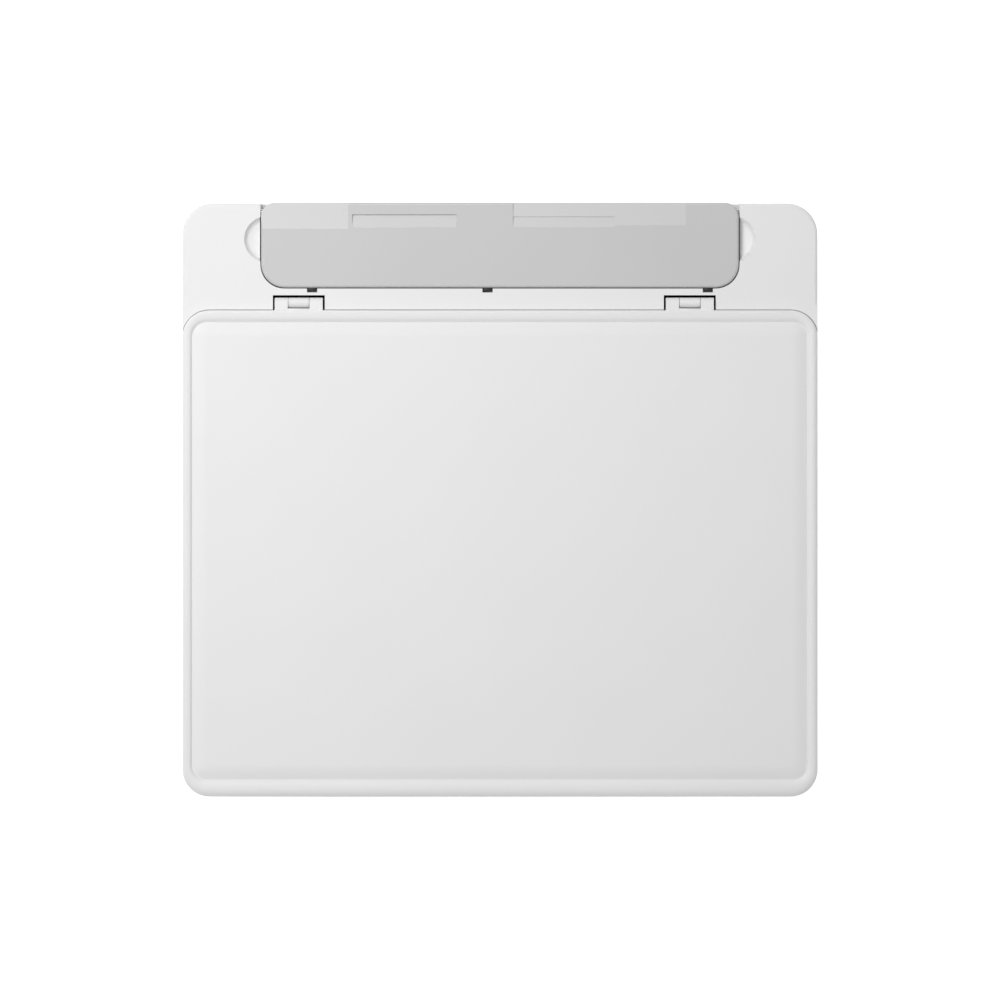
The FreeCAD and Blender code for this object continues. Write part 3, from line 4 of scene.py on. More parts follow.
import bmesh
import bpy
from mathutils import Matrix, Vector


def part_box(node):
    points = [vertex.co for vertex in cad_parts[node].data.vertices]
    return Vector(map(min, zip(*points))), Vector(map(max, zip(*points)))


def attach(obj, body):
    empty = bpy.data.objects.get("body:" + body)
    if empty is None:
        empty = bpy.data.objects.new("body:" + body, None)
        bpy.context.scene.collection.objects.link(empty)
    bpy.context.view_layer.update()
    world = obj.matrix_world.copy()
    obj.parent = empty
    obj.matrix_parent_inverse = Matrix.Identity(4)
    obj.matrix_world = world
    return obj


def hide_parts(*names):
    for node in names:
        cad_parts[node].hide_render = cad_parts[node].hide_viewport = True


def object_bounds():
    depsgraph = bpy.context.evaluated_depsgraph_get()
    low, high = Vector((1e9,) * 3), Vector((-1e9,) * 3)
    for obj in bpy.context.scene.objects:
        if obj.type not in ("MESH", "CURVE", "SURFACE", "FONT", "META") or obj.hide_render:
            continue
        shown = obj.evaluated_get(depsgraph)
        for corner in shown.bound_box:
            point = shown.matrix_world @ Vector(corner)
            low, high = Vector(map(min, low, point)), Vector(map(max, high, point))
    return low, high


# A compact inkjet printer with a scanner on top: white textured housings, a pillow-shaped scanner
# lid, a grey sheet support at the back, and the whole printing mechanism inside.
# Sizes are in millimetres and become metres when a piece is made. The front faces -Y.

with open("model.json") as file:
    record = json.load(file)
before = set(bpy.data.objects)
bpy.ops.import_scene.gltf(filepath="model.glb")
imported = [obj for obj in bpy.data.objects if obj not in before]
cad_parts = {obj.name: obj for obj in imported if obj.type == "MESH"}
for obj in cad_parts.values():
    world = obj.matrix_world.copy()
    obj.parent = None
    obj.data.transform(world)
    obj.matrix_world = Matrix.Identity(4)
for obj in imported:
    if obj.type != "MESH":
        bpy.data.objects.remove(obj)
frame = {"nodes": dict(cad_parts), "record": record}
cad_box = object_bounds()
NODES = frame["nodes"]
MM = 0.001
# The 8 steps from a flat face round to an upright one, as angles.
ROUNDING = [math.pi / 2 * step / 8 for step in range(9)]


def span(node):
    """The lowest and highest corner of a CAD node, in millimetres."""
    low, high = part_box(node)
    return low / MM, high / MM


# ---------------------------------------------------------------- mesh tools

def ring_points(left, right, front, back, radius, z, steps=10):
    """A rounded rectangle seen from above, anticlockwise."""
    corners = ((right - radius, front + radius, -90), (right - radius, back - radius, 0),
               (left + radius, back - radius, 90), (left + radius, front + radius, 180))
    points = []
    for x, y, start in corners:
        for step in range(steps + 1):
            angle = math.radians(start + 90 * step / steps)
            points.append(Vector((x + radius * math.cos(angle), y + radius * math.sin(angle), z)))
    return points


def circle_points(centre, radius, along, count=48):
    """A circle about an axis through centre, where along is "x", "y" or "z"."""
    turns = {"x": (Vector((0, 1, 0)), Vector((0, 0, 1))), "y": (Vector((0, 0, 1)), Vector((1, 0, 0))),
             "z": (Vector((1, 0, 0)), Vector((0, 1, 0)))}
    first, second = turns[along]
    angles = [2 * math.pi * step / count for step in range(count)]
    return [Vector(centre) + first * radius * math.cos(a) + second * radius * math.sin(a) for a in angles]


def half_round(centre, radius, start, steps=12):
    """A half circle drawn clockwise from the start angle, as pairs in side view."""
    angles = [start - math.pi * step / steps for step in range(steps + 1)]
    return [(centre[0] + radius * math.cos(a), centre[1] + radius * math.sin(a)) for a in angles]


def skin(mesh, rings, closed=False):
    """Faces between rings of equal count, with the first and last ring filled unless they join up."""
    rows = [[mesh.verts.new(point) for point in ring] for ring in rings]
    pairs = list(zip(rows, rows[1:])) + ([(rows[-1], rows[0])] if closed else [])
    for lower, upper in pairs:
        count = len(lower)
        for i in range(count):
            j = (i + 1) % count
            mesh.faces.new((lower[i], lower[j], upper[j], upper[i]))
    if not closed:
        mesh.faces.new(list(reversed(rows[0])))
        mesh.faces.new(rows[-1])


def turned(mesh, centre, along, profile, count=48):
    """A solid of revolution: profile is pairs of distance along the axis and radius."""
    way = {"x": Vector((1, 0, 0)), "y": Vector((0, 1, 0)), "z": Vector((0, 0, 1))}[along]
    skin(mesh, [circle_points(Vector(centre) + way * at, radius, along, count) for at, radius in profile])


def soft_rod(mesh, centre, along, length, radius, edge=0.4, count=48):
    """A round bar with broken edges."""
    turned(mesh, centre, along, [(0, radius - edge), (edge, radius), (length - edge, radius),
                                 (length, radius - edge)], count)


def soft_block(mesh, low, high, edge=0.6, segments=2):
    """A block with rounded edges."""
    low, high = Vector(low), Vector(high)
    made = bmesh.ops.create_cube(mesh, size=1, matrix=Matrix.Translation((low + high) / 2)
                                 @ Matrix.Diagonal((*(high - low), 1)))
    edges = {e for v in made["verts"] for e in v.link_edges}
    bmesh.ops.bevel(mesh, geom=list(edges), offset=edge, segments=segments, profile=0.5, affect="EDGES")


def extruded(mesh, outline, along, start, stop):
    """A flat outline carried along x or y; its pairs are (y, z) along x and (z, x) along y."""
    spots = {"x": lambda a, b, at: (at, a, b), "y": lambda a, b, at: (b, at, a)}
    skin(mesh, [[Vector(spots[along](a, b, at)) for a, b in outline] for at in (start, stop)])


def gear_outline(centre, teeth, tip, root):
    """A gear's outline with straight-sided teeth, as pairs about its centre."""
    points = []
    for tooth in range(teeth):
        for share, radius in ((0.0, root), (0.22, root), (0.36, tip), (0.64, tip), (0.78, root)):
            angle = 2 * math.pi * (tooth + share) / teeth
            points.append((centre[0] + radius * math.cos(angle), centre[1] + radius * math.sin(angle)))
    return points


def piece(name, mesh, body, finish, sharp=35):
    """Turns a mesh drawn in millimetres into an object that moves with a body."""
    bmesh.ops.recalc_face_normals(mesh, faces=mesh.faces)
    bmesh.ops.scale(mesh, vec=(MM, MM, MM), verts=mesh.verts)
    data = bpy.data.meshes.new(name)
    mesh.to_mesh(data)
    mesh.free()
    data.shade_smooth()
    data.set_sharp_from_angle(angle=math.radians(sharp))
    data.materials.append(finish)
    made = bpy.data.objects.new(name, data)
    bpy.context.scene.collection.objects.link(made)
    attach(made, body)
    return made


# ---------------------------------------------------------------- finishes

def linear(code):
    """A colour given as an sRGB hex code, as the linear values that a shader takes."""
    parts = [int(code[i:i + 2], 16) / 255 for i in (0, 2, 4)]
    return (*(p / 12.92 if p <= 0.04045 else ((p + 0.055) / 1.055) ** 2.4 for p in parts), 1)


def add(tree, kind, inputs=None, **settings):
    """Adds a node; an input is either a value or the socket that feeds it."""
    made = tree.nodes.new("ShaderNode" + kind)
    for name, value in settings.items():
        setattr(made, name, value)
    for socket, value in (inputs or {}).items():
        if isinstance(value, bpy.types.NodeSocket):
            tree.links.new(value, made.inputs[socket])
        else:
            made.inputs[socket].default_value = value
    return made


def grain_size(mm):
    """The scale of a noise whose grains are this many millimetres wide."""
    return 1 / (mm * MM)


def start(name):
    material = bpy.data.materials.new(name)
    material.use_nodes = True
    tree = material.node_tree
    shader = next(n for n in tree.nodes if n.bl_idname == "ShaderNodeBsdfPrincipled")
    return material, tree, shader


def moulded(name, light, dark, roughness, grain, depth, spread=0.05, ior=1.53):
    """Moulded plastic: a spark-eroded grain in the bump, and a slow drift in tone and gloss."""
    material, tree, shader = start(name)
    where = add(tree, "TexCoord").outputs["Object"]
    drift = add(tree, "TexNoise", {"Vector": where, "Scale": grain_size(70), "Detail": 2.0})
    tone = add(tree, "ValToRGB", {"Fac": drift.outputs["Fac"]})
    tone.color_ramp.elements[0].position = 0.35
    tone.color_ramp.elements[1].position = 0.65
    tone.color_ramp.elements[0].color = linear(dark)
    tone.color_ramp.elements[1].color = linear(light)
    fine = add(tree, "TexNoise", {"Vector": where, "Scale": grain_size(grain), "Detail": 3.0})
    gloss = add(tree, "MapRange", {"Value": fine.outputs["Fac"], "To Min": roughness - spread,
                                   "To Max": roughness + spread})
    bump = add(tree, "Bump", {"Height": fine.outputs["Fac"], "Distance": depth * MM, "Strength": 0.6})
    tree.links.new(tone.outputs["Color"], shader.inputs["Base Color"])
    tree.links.new(gloss.outputs["Result"], shader.inputs["Roughness"])
    tree.links.new(bump.outputs["Normal"], shader.inputs["Normal"])
    shader.inputs["IOR"].default_value = ior
    return material


def machined(name, colour, roughness, stretch, line):
    """Drawn or ground metal: fine lines along one axis that vary the roughness and the bump."""
    material, tree, shader = start(name)
    where = add(tree, "TexCoord").outputs["Object"]
    along = add(tree, "Mapping", {"Vector": where, "Scale": stretch})
    lines = add(tree, "TexNoise", {"Vector": along.outputs["Vector"], "Scale": grain_size(line),
                                   "Detail": 4.0})
    gloss = add(tree, "MapRange", {"Value": lines.outputs["Fac"], "To Min": roughness - 0.08,
                                   "To Max": roughness + 0.1})
    bump = add(tree, "Bump", {"Height": lines.outputs["Fac"], "Distance": 0.01 * MM, "Strength": 0.5})
    shader.inputs["Base Color"].default_value = linear(colour)
    shader.inputs["Metallic"].default_value = 1.0
    tree.links.new(gloss.outputs["Result"], shader.inputs["Roughness"])
    tree.links.new(bump.outputs["Normal"], shader.inputs["Normal"])
    return material


def speckled(name, light, dark, roughness, grain, depth):
    """Foam, felt or fibre: cells that show in the colour as well as in the bump."""
    material, tree, shader = start(name)
    where = add(tree, "TexCoord").outputs["Object"]
    cells = add(tree, "TexVoronoi", {"Vector": where, "Scale": grain_size(grain)})
    tone = add(tree, "ValToRGB", {"Fac": cells.outputs["Distance"]})
    tone.color_ramp.elements[0].color = linear(dark)
    tone.color_ramp.elements[1].color = linear(light)
    bump = add(tree, "Bump", {"Height": cells.outputs["Distance"], "Distance": depth * MM,
                              "Strength": 0.7})
    tree.links.new(tone.outputs["Color"], shader.inputs["Base Color"])
    tree.links.new(bump.outputs["Normal"], shader.inputs["Normal"])
    shader.inputs["Roughness"].default_value = roughness
    return material


def clear(name, colour, roughness, opacity):
    """Clear sheet: light passes through, and the surface keeps its reflection."""
    material, tree, shader = start(name)
    where = add(tree, "TexCoord").outputs["Object"]
    smear = add(tree, "TexNoise", {"Vector": where, "Scale": grain_size(25), "Detail": 3.0})
    gloss = add(tree, "MapRange", {"Value": smear.outputs["Fac"], "To Min": roughness,
                                   "To Max": roughness + 0.06})
    tree.links.new(gloss.outputs["Result"], shader.inputs["Roughness"])
    shader.inputs["Base Color"].default_value = linear(colour)
    shader.inputs["IOR"].default_value = 1.52
    shader.inputs["Alpha"].default_value = opacity
    return material


# White ABS from a spark-eroded mould: a soft even white with barely any gloss. The real grain is
# 0.1 mm and would not show, so it is drawn at 0.9 mm.
white_abs = moulded("white_abs_spark_eroded", "E7E7E7", "E6E6E6", 0.5, 0.9, 0.012)
# Grey ABS of the sheet support: the same mould finish with a shallower grain.
grey_abs = moulded("grey_abs_satin", "C5C5C5", "C3C3C3", 0.5, 0.9, 0.008)
# A slightly smoother grey for the falling panels at the rear of the support, painted paler than the cover
# as painted light where these slopes catch the light.
grey_abs_smooth_painted_lit = moulded("grey_abs_smooth_painted_lit", "CCCCCC", "CACACA", 0.42, 1.2, 0.003)
# Smoke-grey polystyrene of the trays and paper guides.
tray_polystyrene = moulded("grey_polystyrene_textured", "5A5C5F", "525457", 0.5, 0.8, 0.015, ior=1.59)
# Glass-filled dark nylon of the mechanism, slightly mottled by its fibres.
dark_nylon = moulded("black_nylon_glass_filled", "1E1F21", "17181A", 0.55, 0.6, 0.02, spread=0.1)
# Polished black acrylic of the display.
black_acrylic = moulded("black_acrylic_polished", "08090A", "0A0B0D", 0.08, 3.0, 0.001, spread=0.02,
                        ior=1.49)
# White keys with a smooth satin moulding.
key_abs = moulded("key_abs_satin", "DCDDDE", "D8D9DA", 0.3, 0.9, 0.004)
# Black injection-moulded casing of the power supply.
supply_abs = moulded("black_abs_coarse", "191A1B", "141516", 0.6, 0.9, 0.03)
# Ink tanks: polypropylene, black and slate.
black_tank = moulded("polypropylene_black", "151515", "101011", 0.35, 1.0, 0.006, ior=1.49)
slate_tank = moulded("polypropylene_slate", "39404D", "343B47", 0.35, 1.0, 0.006, ior=1.49)
# EPDM rubber of the rollers, belts and feet: dull, with a faint bloom.
epdm = moulded("epdm_rubber_ground", "1C1C1D", "141415", 0.82, 0.5, 0.05, spread=0.06, ior=1.52)
# Green solder mask over copper on the circuit boards.
solder_mask = moulded("solder_mask_green", "14502F", "0F4428", 0.28, 1.2, 0.006, ior=1.5)
# Ground steel of shafts and rods, with fine lines around the bar.
ground_steel = machined("steel_centreless_ground", "C9CBCE", 0.24, (0.15, 1, 1), 0.5)
# Zinc-plated sheet steel of the frame.
zinc_sheet = machined("zinc_plated_sheet", "B4B8BD", 0.38, (0.2, 1, 1), 1.5)
# Sintered brass of the motor pinions.
brass = machined("brass_sintered", "B58E4A", 0.35, (1, 1, 1), 0.5)
# Green light pipe beside the power key.
lit_green = moulded("light_pipe_green", "3FB65A", "38A852", 0.2, 2.0, 0.001, ior=1.49)
# White open-cell foam backing that presses the document flat.
white_foam = speckled("white_polyurethane_foam", "F1F1EE", "DDDDD9", 0.9, 1.1, 0.12)
# Felt that soaks up waste ink, with a matted fibre surface.
ink_felt = speckled("pressed_felt", "E4E2DC", "BFBDB6", 0.95, 0.9, 0.25)
# Float glass of the document table, faintly green at its edges.
float_glass = clear("float_glass_polished", "DDEBE6", 0.02, 0.28)
# Clear polyester film of the position strip.
polyester = clear("polyester_film", "C8CCD0", 0.08, 0.5)

SLOT_FINISH = {"white_shell": white_abs, "gray_cover": grey_abs, "inner_gray": tray_polystyrene,
               "dark_plastic": dark_nylon, "button_plastic": key_abs, "screen": black_acrylic,
               "scan_glass": float_glass, "foam": white_foam, "steel": ground_steel,
               "zinc_sheet": zinc_sheet, "rubber": epdm, "board": solder_mask, "supply": supply_abs,
               "ink_black": black_tank, "ink_colour": slate_tank, "felt": ink_felt, "film": polyester}


def finish_cad_nodes():
    """Every CAD node shows in the finish of its own material slot."""
    for entry in frame["record"]["subparts"]:
        node = NODES[entry["node"]]
        for place in node.material_slots:
            place.material = SLOT_FINISH[entry["material_slot"]]


# ---------------------------------------------------------------- scanner lid

LID_BACK = 110.9
RIM_SIDE, RIM_FRONT, RIM_BACK = 5.6, 9.6, 6.8
LID_EDGE, LID_CORNER, LID_WALL = 2.6, 16, 2.2
BACK_EDGE = 0.6
GROOVE_DEPTH = 1.4
GROOVE_END = 6.3
PILLOW_RUN, PILLOW_RISE = 8.4, 1.3
# The rim falls gently inwards and then curves down into the groove: distance in, and depth.
RIM_PROFILE = ((3.2, 0.02), (3.9, 0.09), (4.5, 0.22), (4.9, 0.42), (5.2, 0.72), (5.45, 1.05),
               (5.7, 1.3), (5.95, GROOVE_DEPTH), (GROOVE_END, GROOVE_DEPTH))
HINGES = (-117.8, 111.1)
HALF_HINGE, HALF_KNUCKLE = 14, 6.3
PIVOT = (115.2, 138.6)
EAR = 3.0


def rim_reach(inward, rim, edge):
    """How far in a ring lies on one side of the lid, where the rim and its rounded edge differ by side."""
    if inward <= LID_EDGE:
        return edge * inward / LID_EDGE
    if inward <= RIM_SIDE:
        return edge + (inward - LID_EDGE) * (rim - edge) / (RIM_SIDE - LID_EDGE)
    return rim + inward - RIM_SIDE


def lid_ring(outer, inward, z, plain=False):
    """A ring moved in from the lid's outline; a plain one moves in by the same amount all round."""
    low, high = outer
    front = inward if plain else rim_reach(inward, RIM_FRONT, LID_EDGE * RIM_FRONT / RIM_SIDE)
    back = inward if plain else rim_reach(inward, RIM_BACK, BACK_EDGE)
    corner = max(LID_CORNER - inward * (1.0 if plain else 1.25), 3.5)
    return ring_points(low.x + inward, high.x - inward, low.y + front, LID_BACK - back, corner, z, 14)


def lid_rings(outer):
    """The lid's outside from its lower edge over the rim, down the groove and up onto the pillow."""
    low, top = outer[0].z, outer[1].z
    rings = [lid_ring(outer, LID_WALL, top - 5.4, True), lid_ring(outer, LID_WALL, low, True),
             lid_ring(outer, 0.35, low, True), lid_ring(outer, 0, low + 0.35, True)]
    rings += [lid_ring(outer, LID_EDGE * (1 - math.cos(a)), top - LID_EDGE * (1 - math.sin(a)))
              for a in ROUNDING]
    rings += [lid_ring(outer, inward, top - depth) for inward, depth in RIM_PROFILE]
    for step in range(1, 17):
        share = step / 16
        rise = PILLOW_RISE * math.sin(math.pi / 2 * share) ** 0.9
        rings.append(lid_ring(outer, GROOVE_END + PILLOW_RUN * share, top - GROOVE_DEPTH + rise))
    return rings


def ear_outline():
    """Side view of a hinge ear: flat on top, round about the pin."""
    foot = LID_BACK - 2
    return [(foot, PIVOT[1] - EAR + 0.3), (foot, PIVOT[1] + EAR)] + half_round(PIVOT, EAR, math.pi / 2)


def make_lid():
    mesh = bmesh.new()
    skin(mesh, lid_rings(span("lid_shell")))
    shell = piece("lid_skin", mesh, "lid", white_abs, sharp=50)
    mesh = bmesh.new()
    for middle in HINGES:
        for low, high in ((-HALF_HINGE, -HALF_KNUCKLE), (HALF_KNUCKLE, HALF_HINGE)):
            extruded(mesh, ear_outline(), "x", middle + low, middle + high)
        soft_block(mesh, (middle - HALF_KNUCKLE, LID_BACK - 2, PIVOT[1] + 0.2),
                   (middle + HALF_KNUCKLE, LID_BACK + 0.9, PIVOT[1] + EAR), 0.25)
    piece("lid_ears", mesh, "lid", white_abs, sharp=40)
    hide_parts("lid_shell")


def make_lid_foam():
    """The white pad under the lid, crowned a little and soft at its edges."""
    low, high = span("lid_pad")
    mesh = bmesh.new()
    rings = []
    for inset, z in ((0.6, high.z), (0.1, high.z - 0.5), (0, (low.z + high.z) / 2), (0.2, low.z + 0.7),
                     (0.9, low.z + 0.2), (2.4, low.z + 0.02), (8, low.z)):
        rings.append(ring_points(low.x + inset, high.x - inset, low.y + inset, high.y - inset,
                                 max(6 - inset, 1), z))
    skin(mesh, rings)
    pad = piece("lid_foam_pad", mesh, "lid", white_foam)
    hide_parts("lid_pad")


# ---------------------------------------------------------------- sheet support

SUPPORT_FRONT = 124
SUPPORT_CORNERS = (14, 8.5)
SUPPORT_EDGE, SUPPORT_WALL, SUPPORT_CEILING = 1.5, 2.2, 137.0
SUPPORT_AXIS, SUPPORT_EAR = (168.6, 134.4), 3
CATCHES = (-110, -7.3, 121.7)
# The rear part of the cover falls away in shallow panels: left, right, front, rear, depth at the rear.
SUPPORT_PANELS = ((-142, -89, 158.4, 176, 2.2), (-86.5, -25.5, 159.3, 166.9, 1.4),
                  (7.6, 67.2, 159.3, 165.6, 1.0), (7.6, 108.8, 160.4, 176, 1.1))


def support_ring(inset, z):
    """A ring of the cover, whose front corners are wider than its rear ones."""
    low, high = span("paper_support")
    front = ring_points(low.x + inset, high.x - inset, SUPPORT_FRONT + inset, high.y - inset,
                        max(SUPPORT_CORNERS[0] - inset, 1), z, 12)
    rear = ring_points(low.x + inset, high.x - inset, SUPPORT_FRONT + inset, high.y - inset,
                       max(SUPPORT_CORNERS[1] - inset, 1), z, 12)
    quarter = len(front) // 4
    return front[:quarter] + rear[quarter:3 * quarter] + front[3 * quarter:]


def wedge(left, right, front, rear, depth, top):
    """A tool that lowers a panel from nothing at its front to its full depth at its rear."""
    mesh = bmesh.new()
    outline = ((front, top + 0.001), (rear, top - depth), (rear, top + 2), (front, top + 2))
    extruded(mesh, outline, "x", left, right)
    return mesh


def carve(made, tools):
    """Cuts the tools, drawn in millimetres, out of a piece."""
    for tool in tools:
        bmesh.ops.recalc_face_normals(tool, faces=tool.faces)
        bmesh.ops.scale(tool, vec=(MM, MM, MM), verts=tool.verts)
        data = bpy.data.meshes.new("tool")
        tool.to_mesh(data)
        tool.free()
        cutter = bpy.data.objects.new("tool", data)
        bpy.context.scene.collection.objects.link(cutter)
        change = made.modifiers.new("cut", "BOOLEAN")
        change.operation = "DIFFERENCE"
        change.solver = "EXACT"
        change.object = cutter
        view = bpy.context.evaluated_depsgraph_get()
        result = bpy.data.meshes.new_from_object(made.evaluated_get(view))
        made.modifiers.clear()
        made.data = result
        bpy.data.objects.remove(cutter)
    made.data.shade_smooth()
    made.data.set_sharp_from_angle(angle=math.radians(3))


def paint_panels_lit(cover):
    """Gives the falling rear panels, and no other face, the smoother grey, which is painted paler as
    painted light.
    """
    cover.data.materials.append(grey_abs_smooth_painted_lit)
    for face in cover.data.polygons:
        if 0.04 < face.normal.y < 0.3 and abs(face.normal.x) < 0.02 and face.normal.z > 0.9:
            face.material_index = 1


def make_support():
    """The hollow cover with its falling rear panels, and the ears that it turns on."""
    low, high = span("paper_support")
    top = high.z
    mesh = bmesh.new()
    rings = [support_ring(SUPPORT_WALL, SUPPORT_CEILING), support_ring(SUPPORT_WALL, low.z),
             support_ring(0.3, low.z), support_ring(0, low.z + 0.3)]
    rings += [support_ring(SUPPORT_EDGE * (1 - math.cos(a)), top - SUPPORT_EDGE * (1 - math.sin(a)))
              for a in ROUNDING]
    rings += [support_ring(SUPPORT_EDGE + 0.3, top), support_ring(SUPPORT_EDGE + 0.6, top)]
    skin(mesh, rings)
    cover = piece("support_cover", mesh, "support", grey_abs, sharp=50)
    carve(cover, [wedge(*panel, top) for panel in SUPPORT_PANELS])
    # The rear panels get the paler grey: painted light where they slope towards the light.
    paint_panels_lit(cover)
    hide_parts("paper_support")
    mesh = bmesh.new()
    behind, ahead = SUPPORT_AXIS[0] + SUPPORT_EAR, SUPPORT_AXIS[0] - SUPPORT_EAR
    outline = half_round(SUPPORT_AXIS, SUPPORT_EAR, 0)
    outline += [(ahead, SUPPORT_CEILING), (behind, SUPPORT_CEILING)]
    for low_x, high_x in ((-136, -131), (131, 136)):
        extruded(mesh, outline, "x", low_x, high_x)
    piece("support_ears", mesh, "support", grey_abs)
    mesh = bmesh.new()
    for middle in CATCHES:
        soft_block(mesh, (middle - 2.4, 121.9, 136.4), (middle + 2.4, 125.5, 138.2), 0.5)
    piece("support_catches", mesh, "support", dark_nylon)


def make_grips():
    """Shallow dishes beside the cover, where a fingertip gets under its edge."""
    straight, middle, rim, floor = 140.15, 152.4, 138.9, 134.7
    mesh = bmesh.new()
    radius, sunk = 13.4, 3.7
    angles = [math.radians(-72 + 144 * step / 24) for step in range(25)]
    arc = [(-radius * math.cos(a) + sunk, radius * math.sin(a)) for a in angles]
    for side in (-1, 1):
        rings = []
        for share, z in ((1.0, floor - 0.05), (1.0, rim), (0.985, rim - 0.15), (0.93, rim - 1.2),
                         (0.86, rim - 2.4), (0.78, rim - 3.1), (0.7, rim - 3.4), (0.3, rim - 3.5)):
            rings.append([Vector((side * (straight + max(-x, 0) * share), middle + y * share, z))
                          for x, y in arc])
        skin(mesh, rings)
    piece("grip_dishes", mesh, "housing", white_abs, sharp=50)


# ---------------------------------------------------------------- feet, label and rear latch

def make_feet():
    mesh = bmesh.new()
    for x in (-158, 158):
        for y in (-142, 146):
            turned(mesh, (x, y, 0), "z", [(0, 6.2), (0.15, 7.1), (0.7, 7.7), (1.4, 8), (3, 8)])
    feet = piece("feet", mesh, "housing", epdm)
    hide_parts("rubber_feet")


def make_label_and_latch():
    mesh = bmesh.new()
    skin(mesh, [ring_points(-45 + inset, 45 - inset, -40 + inset, 10 - inset, 3, z)
                for inset, z in ((0, 3), (0, 2.9), (0.1, 2.8))])
    piece("blank_label", mesh, "housing", white_abs)
    mesh = bmesh.new()
    soft_block(mesh, (-22, 173.3, 83), (22, 174.6, 89), 0.6)
    for step in range(9):
        soft_block(mesh, (-18 + 4.2 * step, 174.4, 84.2), (-16.4 + 4.2 * step, 175.1, 87.8), 0.25)
    piece("rear_cover_latch", mesh, "rear_cover", white_abs)


# ---------------------------------------------------------------- panel with keys and display

KEYS = {"power": -148, "stop": 138, "start": 118, "select": 50}
KEY_UP = 109
KEY_FRONT = -173.9
KEY_PROFILE = ((0, 3.2), (0.12, 3.9), (0.45, 4.5), (0.8, 4.6), (2.85, 4.6), (2.86, 5.6), (3.84, 5.6),
               (3.85, 4.6), (5.9, 4.6))


def stroke(mesh, path, width):
    """A thin raised line on a key, drawn through points across and up the key."""
    for (x0, z0), (x1, z1) in zip(path, path[1:]):
        length = math.hypot(x1 - x0, z1 - z0)
        dx, dz = (x1 - x0) / length * width / 2, (z1 - z0) / length * width / 2
        corners = ((z0 - dz + dx, x0 - dx - dz), (z1 + dz + dx, x1 + dx - dz),
                   (z1 + dz - dx, x1 + dx + dz), (z0 - dz - dx, x0 - dx + dz))
        extruded(mesh, corners, "y", KEY_FRONT - 0.04, KEY_FRONT + 0.1)


def symbol_path(name, x):
    """The plain signs on the keys: on and off, stop, start and choose."""
    circle = [(x + 1.7 * math.sin(a), KEY_UP + 1.7 * math.cos(a)) for a in
              (math.radians(40 + 280 * step / 16) for step in range(17))]
    square = [(x - 1.2, KEY_UP - 1.2), (x + 1.2, KEY_UP - 1.2), (x + 1.2, KEY_UP + 1.2),
              (x - 1.2, KEY_UP + 1.2), (x - 1.2, KEY_UP - 1.2)]
    diamond = [(x, KEY_UP - 1.8), (x + 1.8, KEY_UP), (x, KEY_UP + 1.8), (x - 1.8, KEY_UP),
               (x, KEY_UP - 1.8)]
    chevron = [(x - 1.6, KEY_UP - 0.6), (x, KEY_UP + 1), (x + 1.6, KEY_UP - 0.6)]
    return {"power": [circle, [(x, KEY_UP + 0.4), (x, KEY_UP + 2.3)]], "stop": [square],
            "start": [diamond], "select": [chevron]}[name]


def make_keys():
    for name, x in KEYS.items():
        mesh = bmesh.new()
        turned(mesh, (x, KEY_FRONT, KEY_UP), "y", KEY_PROFILE, 40)
        key = piece(f"{name}_key_cap", mesh, f"{name}_key", key_abs)
        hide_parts(f"{name}_button")
        mesh = bmesh.new()
        for path in symbol_path(name, x):
            stroke(mesh, path, 0.42)
        piece(f"{name}_key_sign", mesh, f"{name}_key", dark_nylon)


def make_display():
    low, high = span("panel_screen")
    mesh = bmesh.new()
    soft_block(mesh, low, high, 0.5, 3)
    screen = piece("display_window", mesh, "panel", black_acrylic)
    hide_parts("panel_screen")
    mesh = bmesh.new()
    turned(mesh, (-136, -173.75, KEY_UP), "y", [(0, 0.6), (0.1, 0.95), (0.3, 1.1), (1.2, 1.1)], 24)
    piece("power_light", mesh, "panel", lit_green)


# ---------------------------------------------------------------- trays and paper guides

def make_tray_details():
    mesh = bmesh.new()
    for step in range(9):
        soft_block(mesh, (-97 + 24 * step, -164, 34.4), (-95 + 24 * step, -22, 35.2), 0.3)
    piece("tray_ribs", mesh, "output", tray_polystyrene)
    mesh = bmesh.new()
    for x in (-52, -44, -36, 36, 44, 52):
        soft_block(mesh, (x - 0.8, -160, 7.4), (x + 0.8, 128, 8.3), 0.25)
    piece("cassette_ribs", mesh, "drawer", tray_polystyrene)
    mesh = bmesh.new()
    soft_block(mesh, (92, -172.4, 12), (104, -171.6, 22), 0.3)
    piece("paper_gauge", mesh, "drawer", polyester)


RAMP_FOOT = (112, 50)
RAMP_TILT = math.radians(27.2)


def on_ramp(along, off):
    """A point in side view, measured along the ramp and out from its face."""
    sine, cosine = math.sin(RAMP_TILT), math.cos(RAMP_TILT)
    return (RAMP_FOOT[0] + along * sine - off * cosine, RAMP_FOOT[1] + along * cosine + off * sine)


def make_ramp_ribs():
    mesh = bmesh.new()
    outline = [on_ramp(2, -0.1), on_ramp(3.5, 0.8), on_ramp(55, 0.8), on_ramp(57, -0.1)]
    for x in (-104, -88, -72, -56, -40, -24, 24, 40, 56, 72, 88, 104):
        extruded(mesh, outline, "x", x - 0.7, x + 0.7)
    piece("ramp_ribs", mesh, "housing", tray_polystyrene)


# ---------------------------------------------------------------- paper transport

FEED_AXIS, EJECT_AXIS, PINION_AXIS = (46, 55), (-50, 55), (63.5, 55)
GEAR_X, LINK_X = (-146, -140), (-139.4, -136)
WHEELS = (-116, -76, -36, 24, 64, 104)
# 62 and 25 teeth give the same ratio as the pitch radii of 12.4 and 5 mm.
FEED_TEETH, PINION_TEETH, PULLEY_TEETH = 62, 25, 18


def grooved(length, radius, ridges, depth=0.35):
    """The profile of a rubber roller with shallow grooves round it."""
    profile = [(0, radius - 0.5), (0.4, radius)]
    for ridge in range(1, ridges):
        middle = length * ridge / ridges
        profile += [(middle - 0.5, radius), (middle - 0.3, radius - depth), (middle + 0.3, radius - depth),
                    (middle + 0.5, radius)]
    return profile + [(length - 0.4, radius), (length, radius - 0.5)]


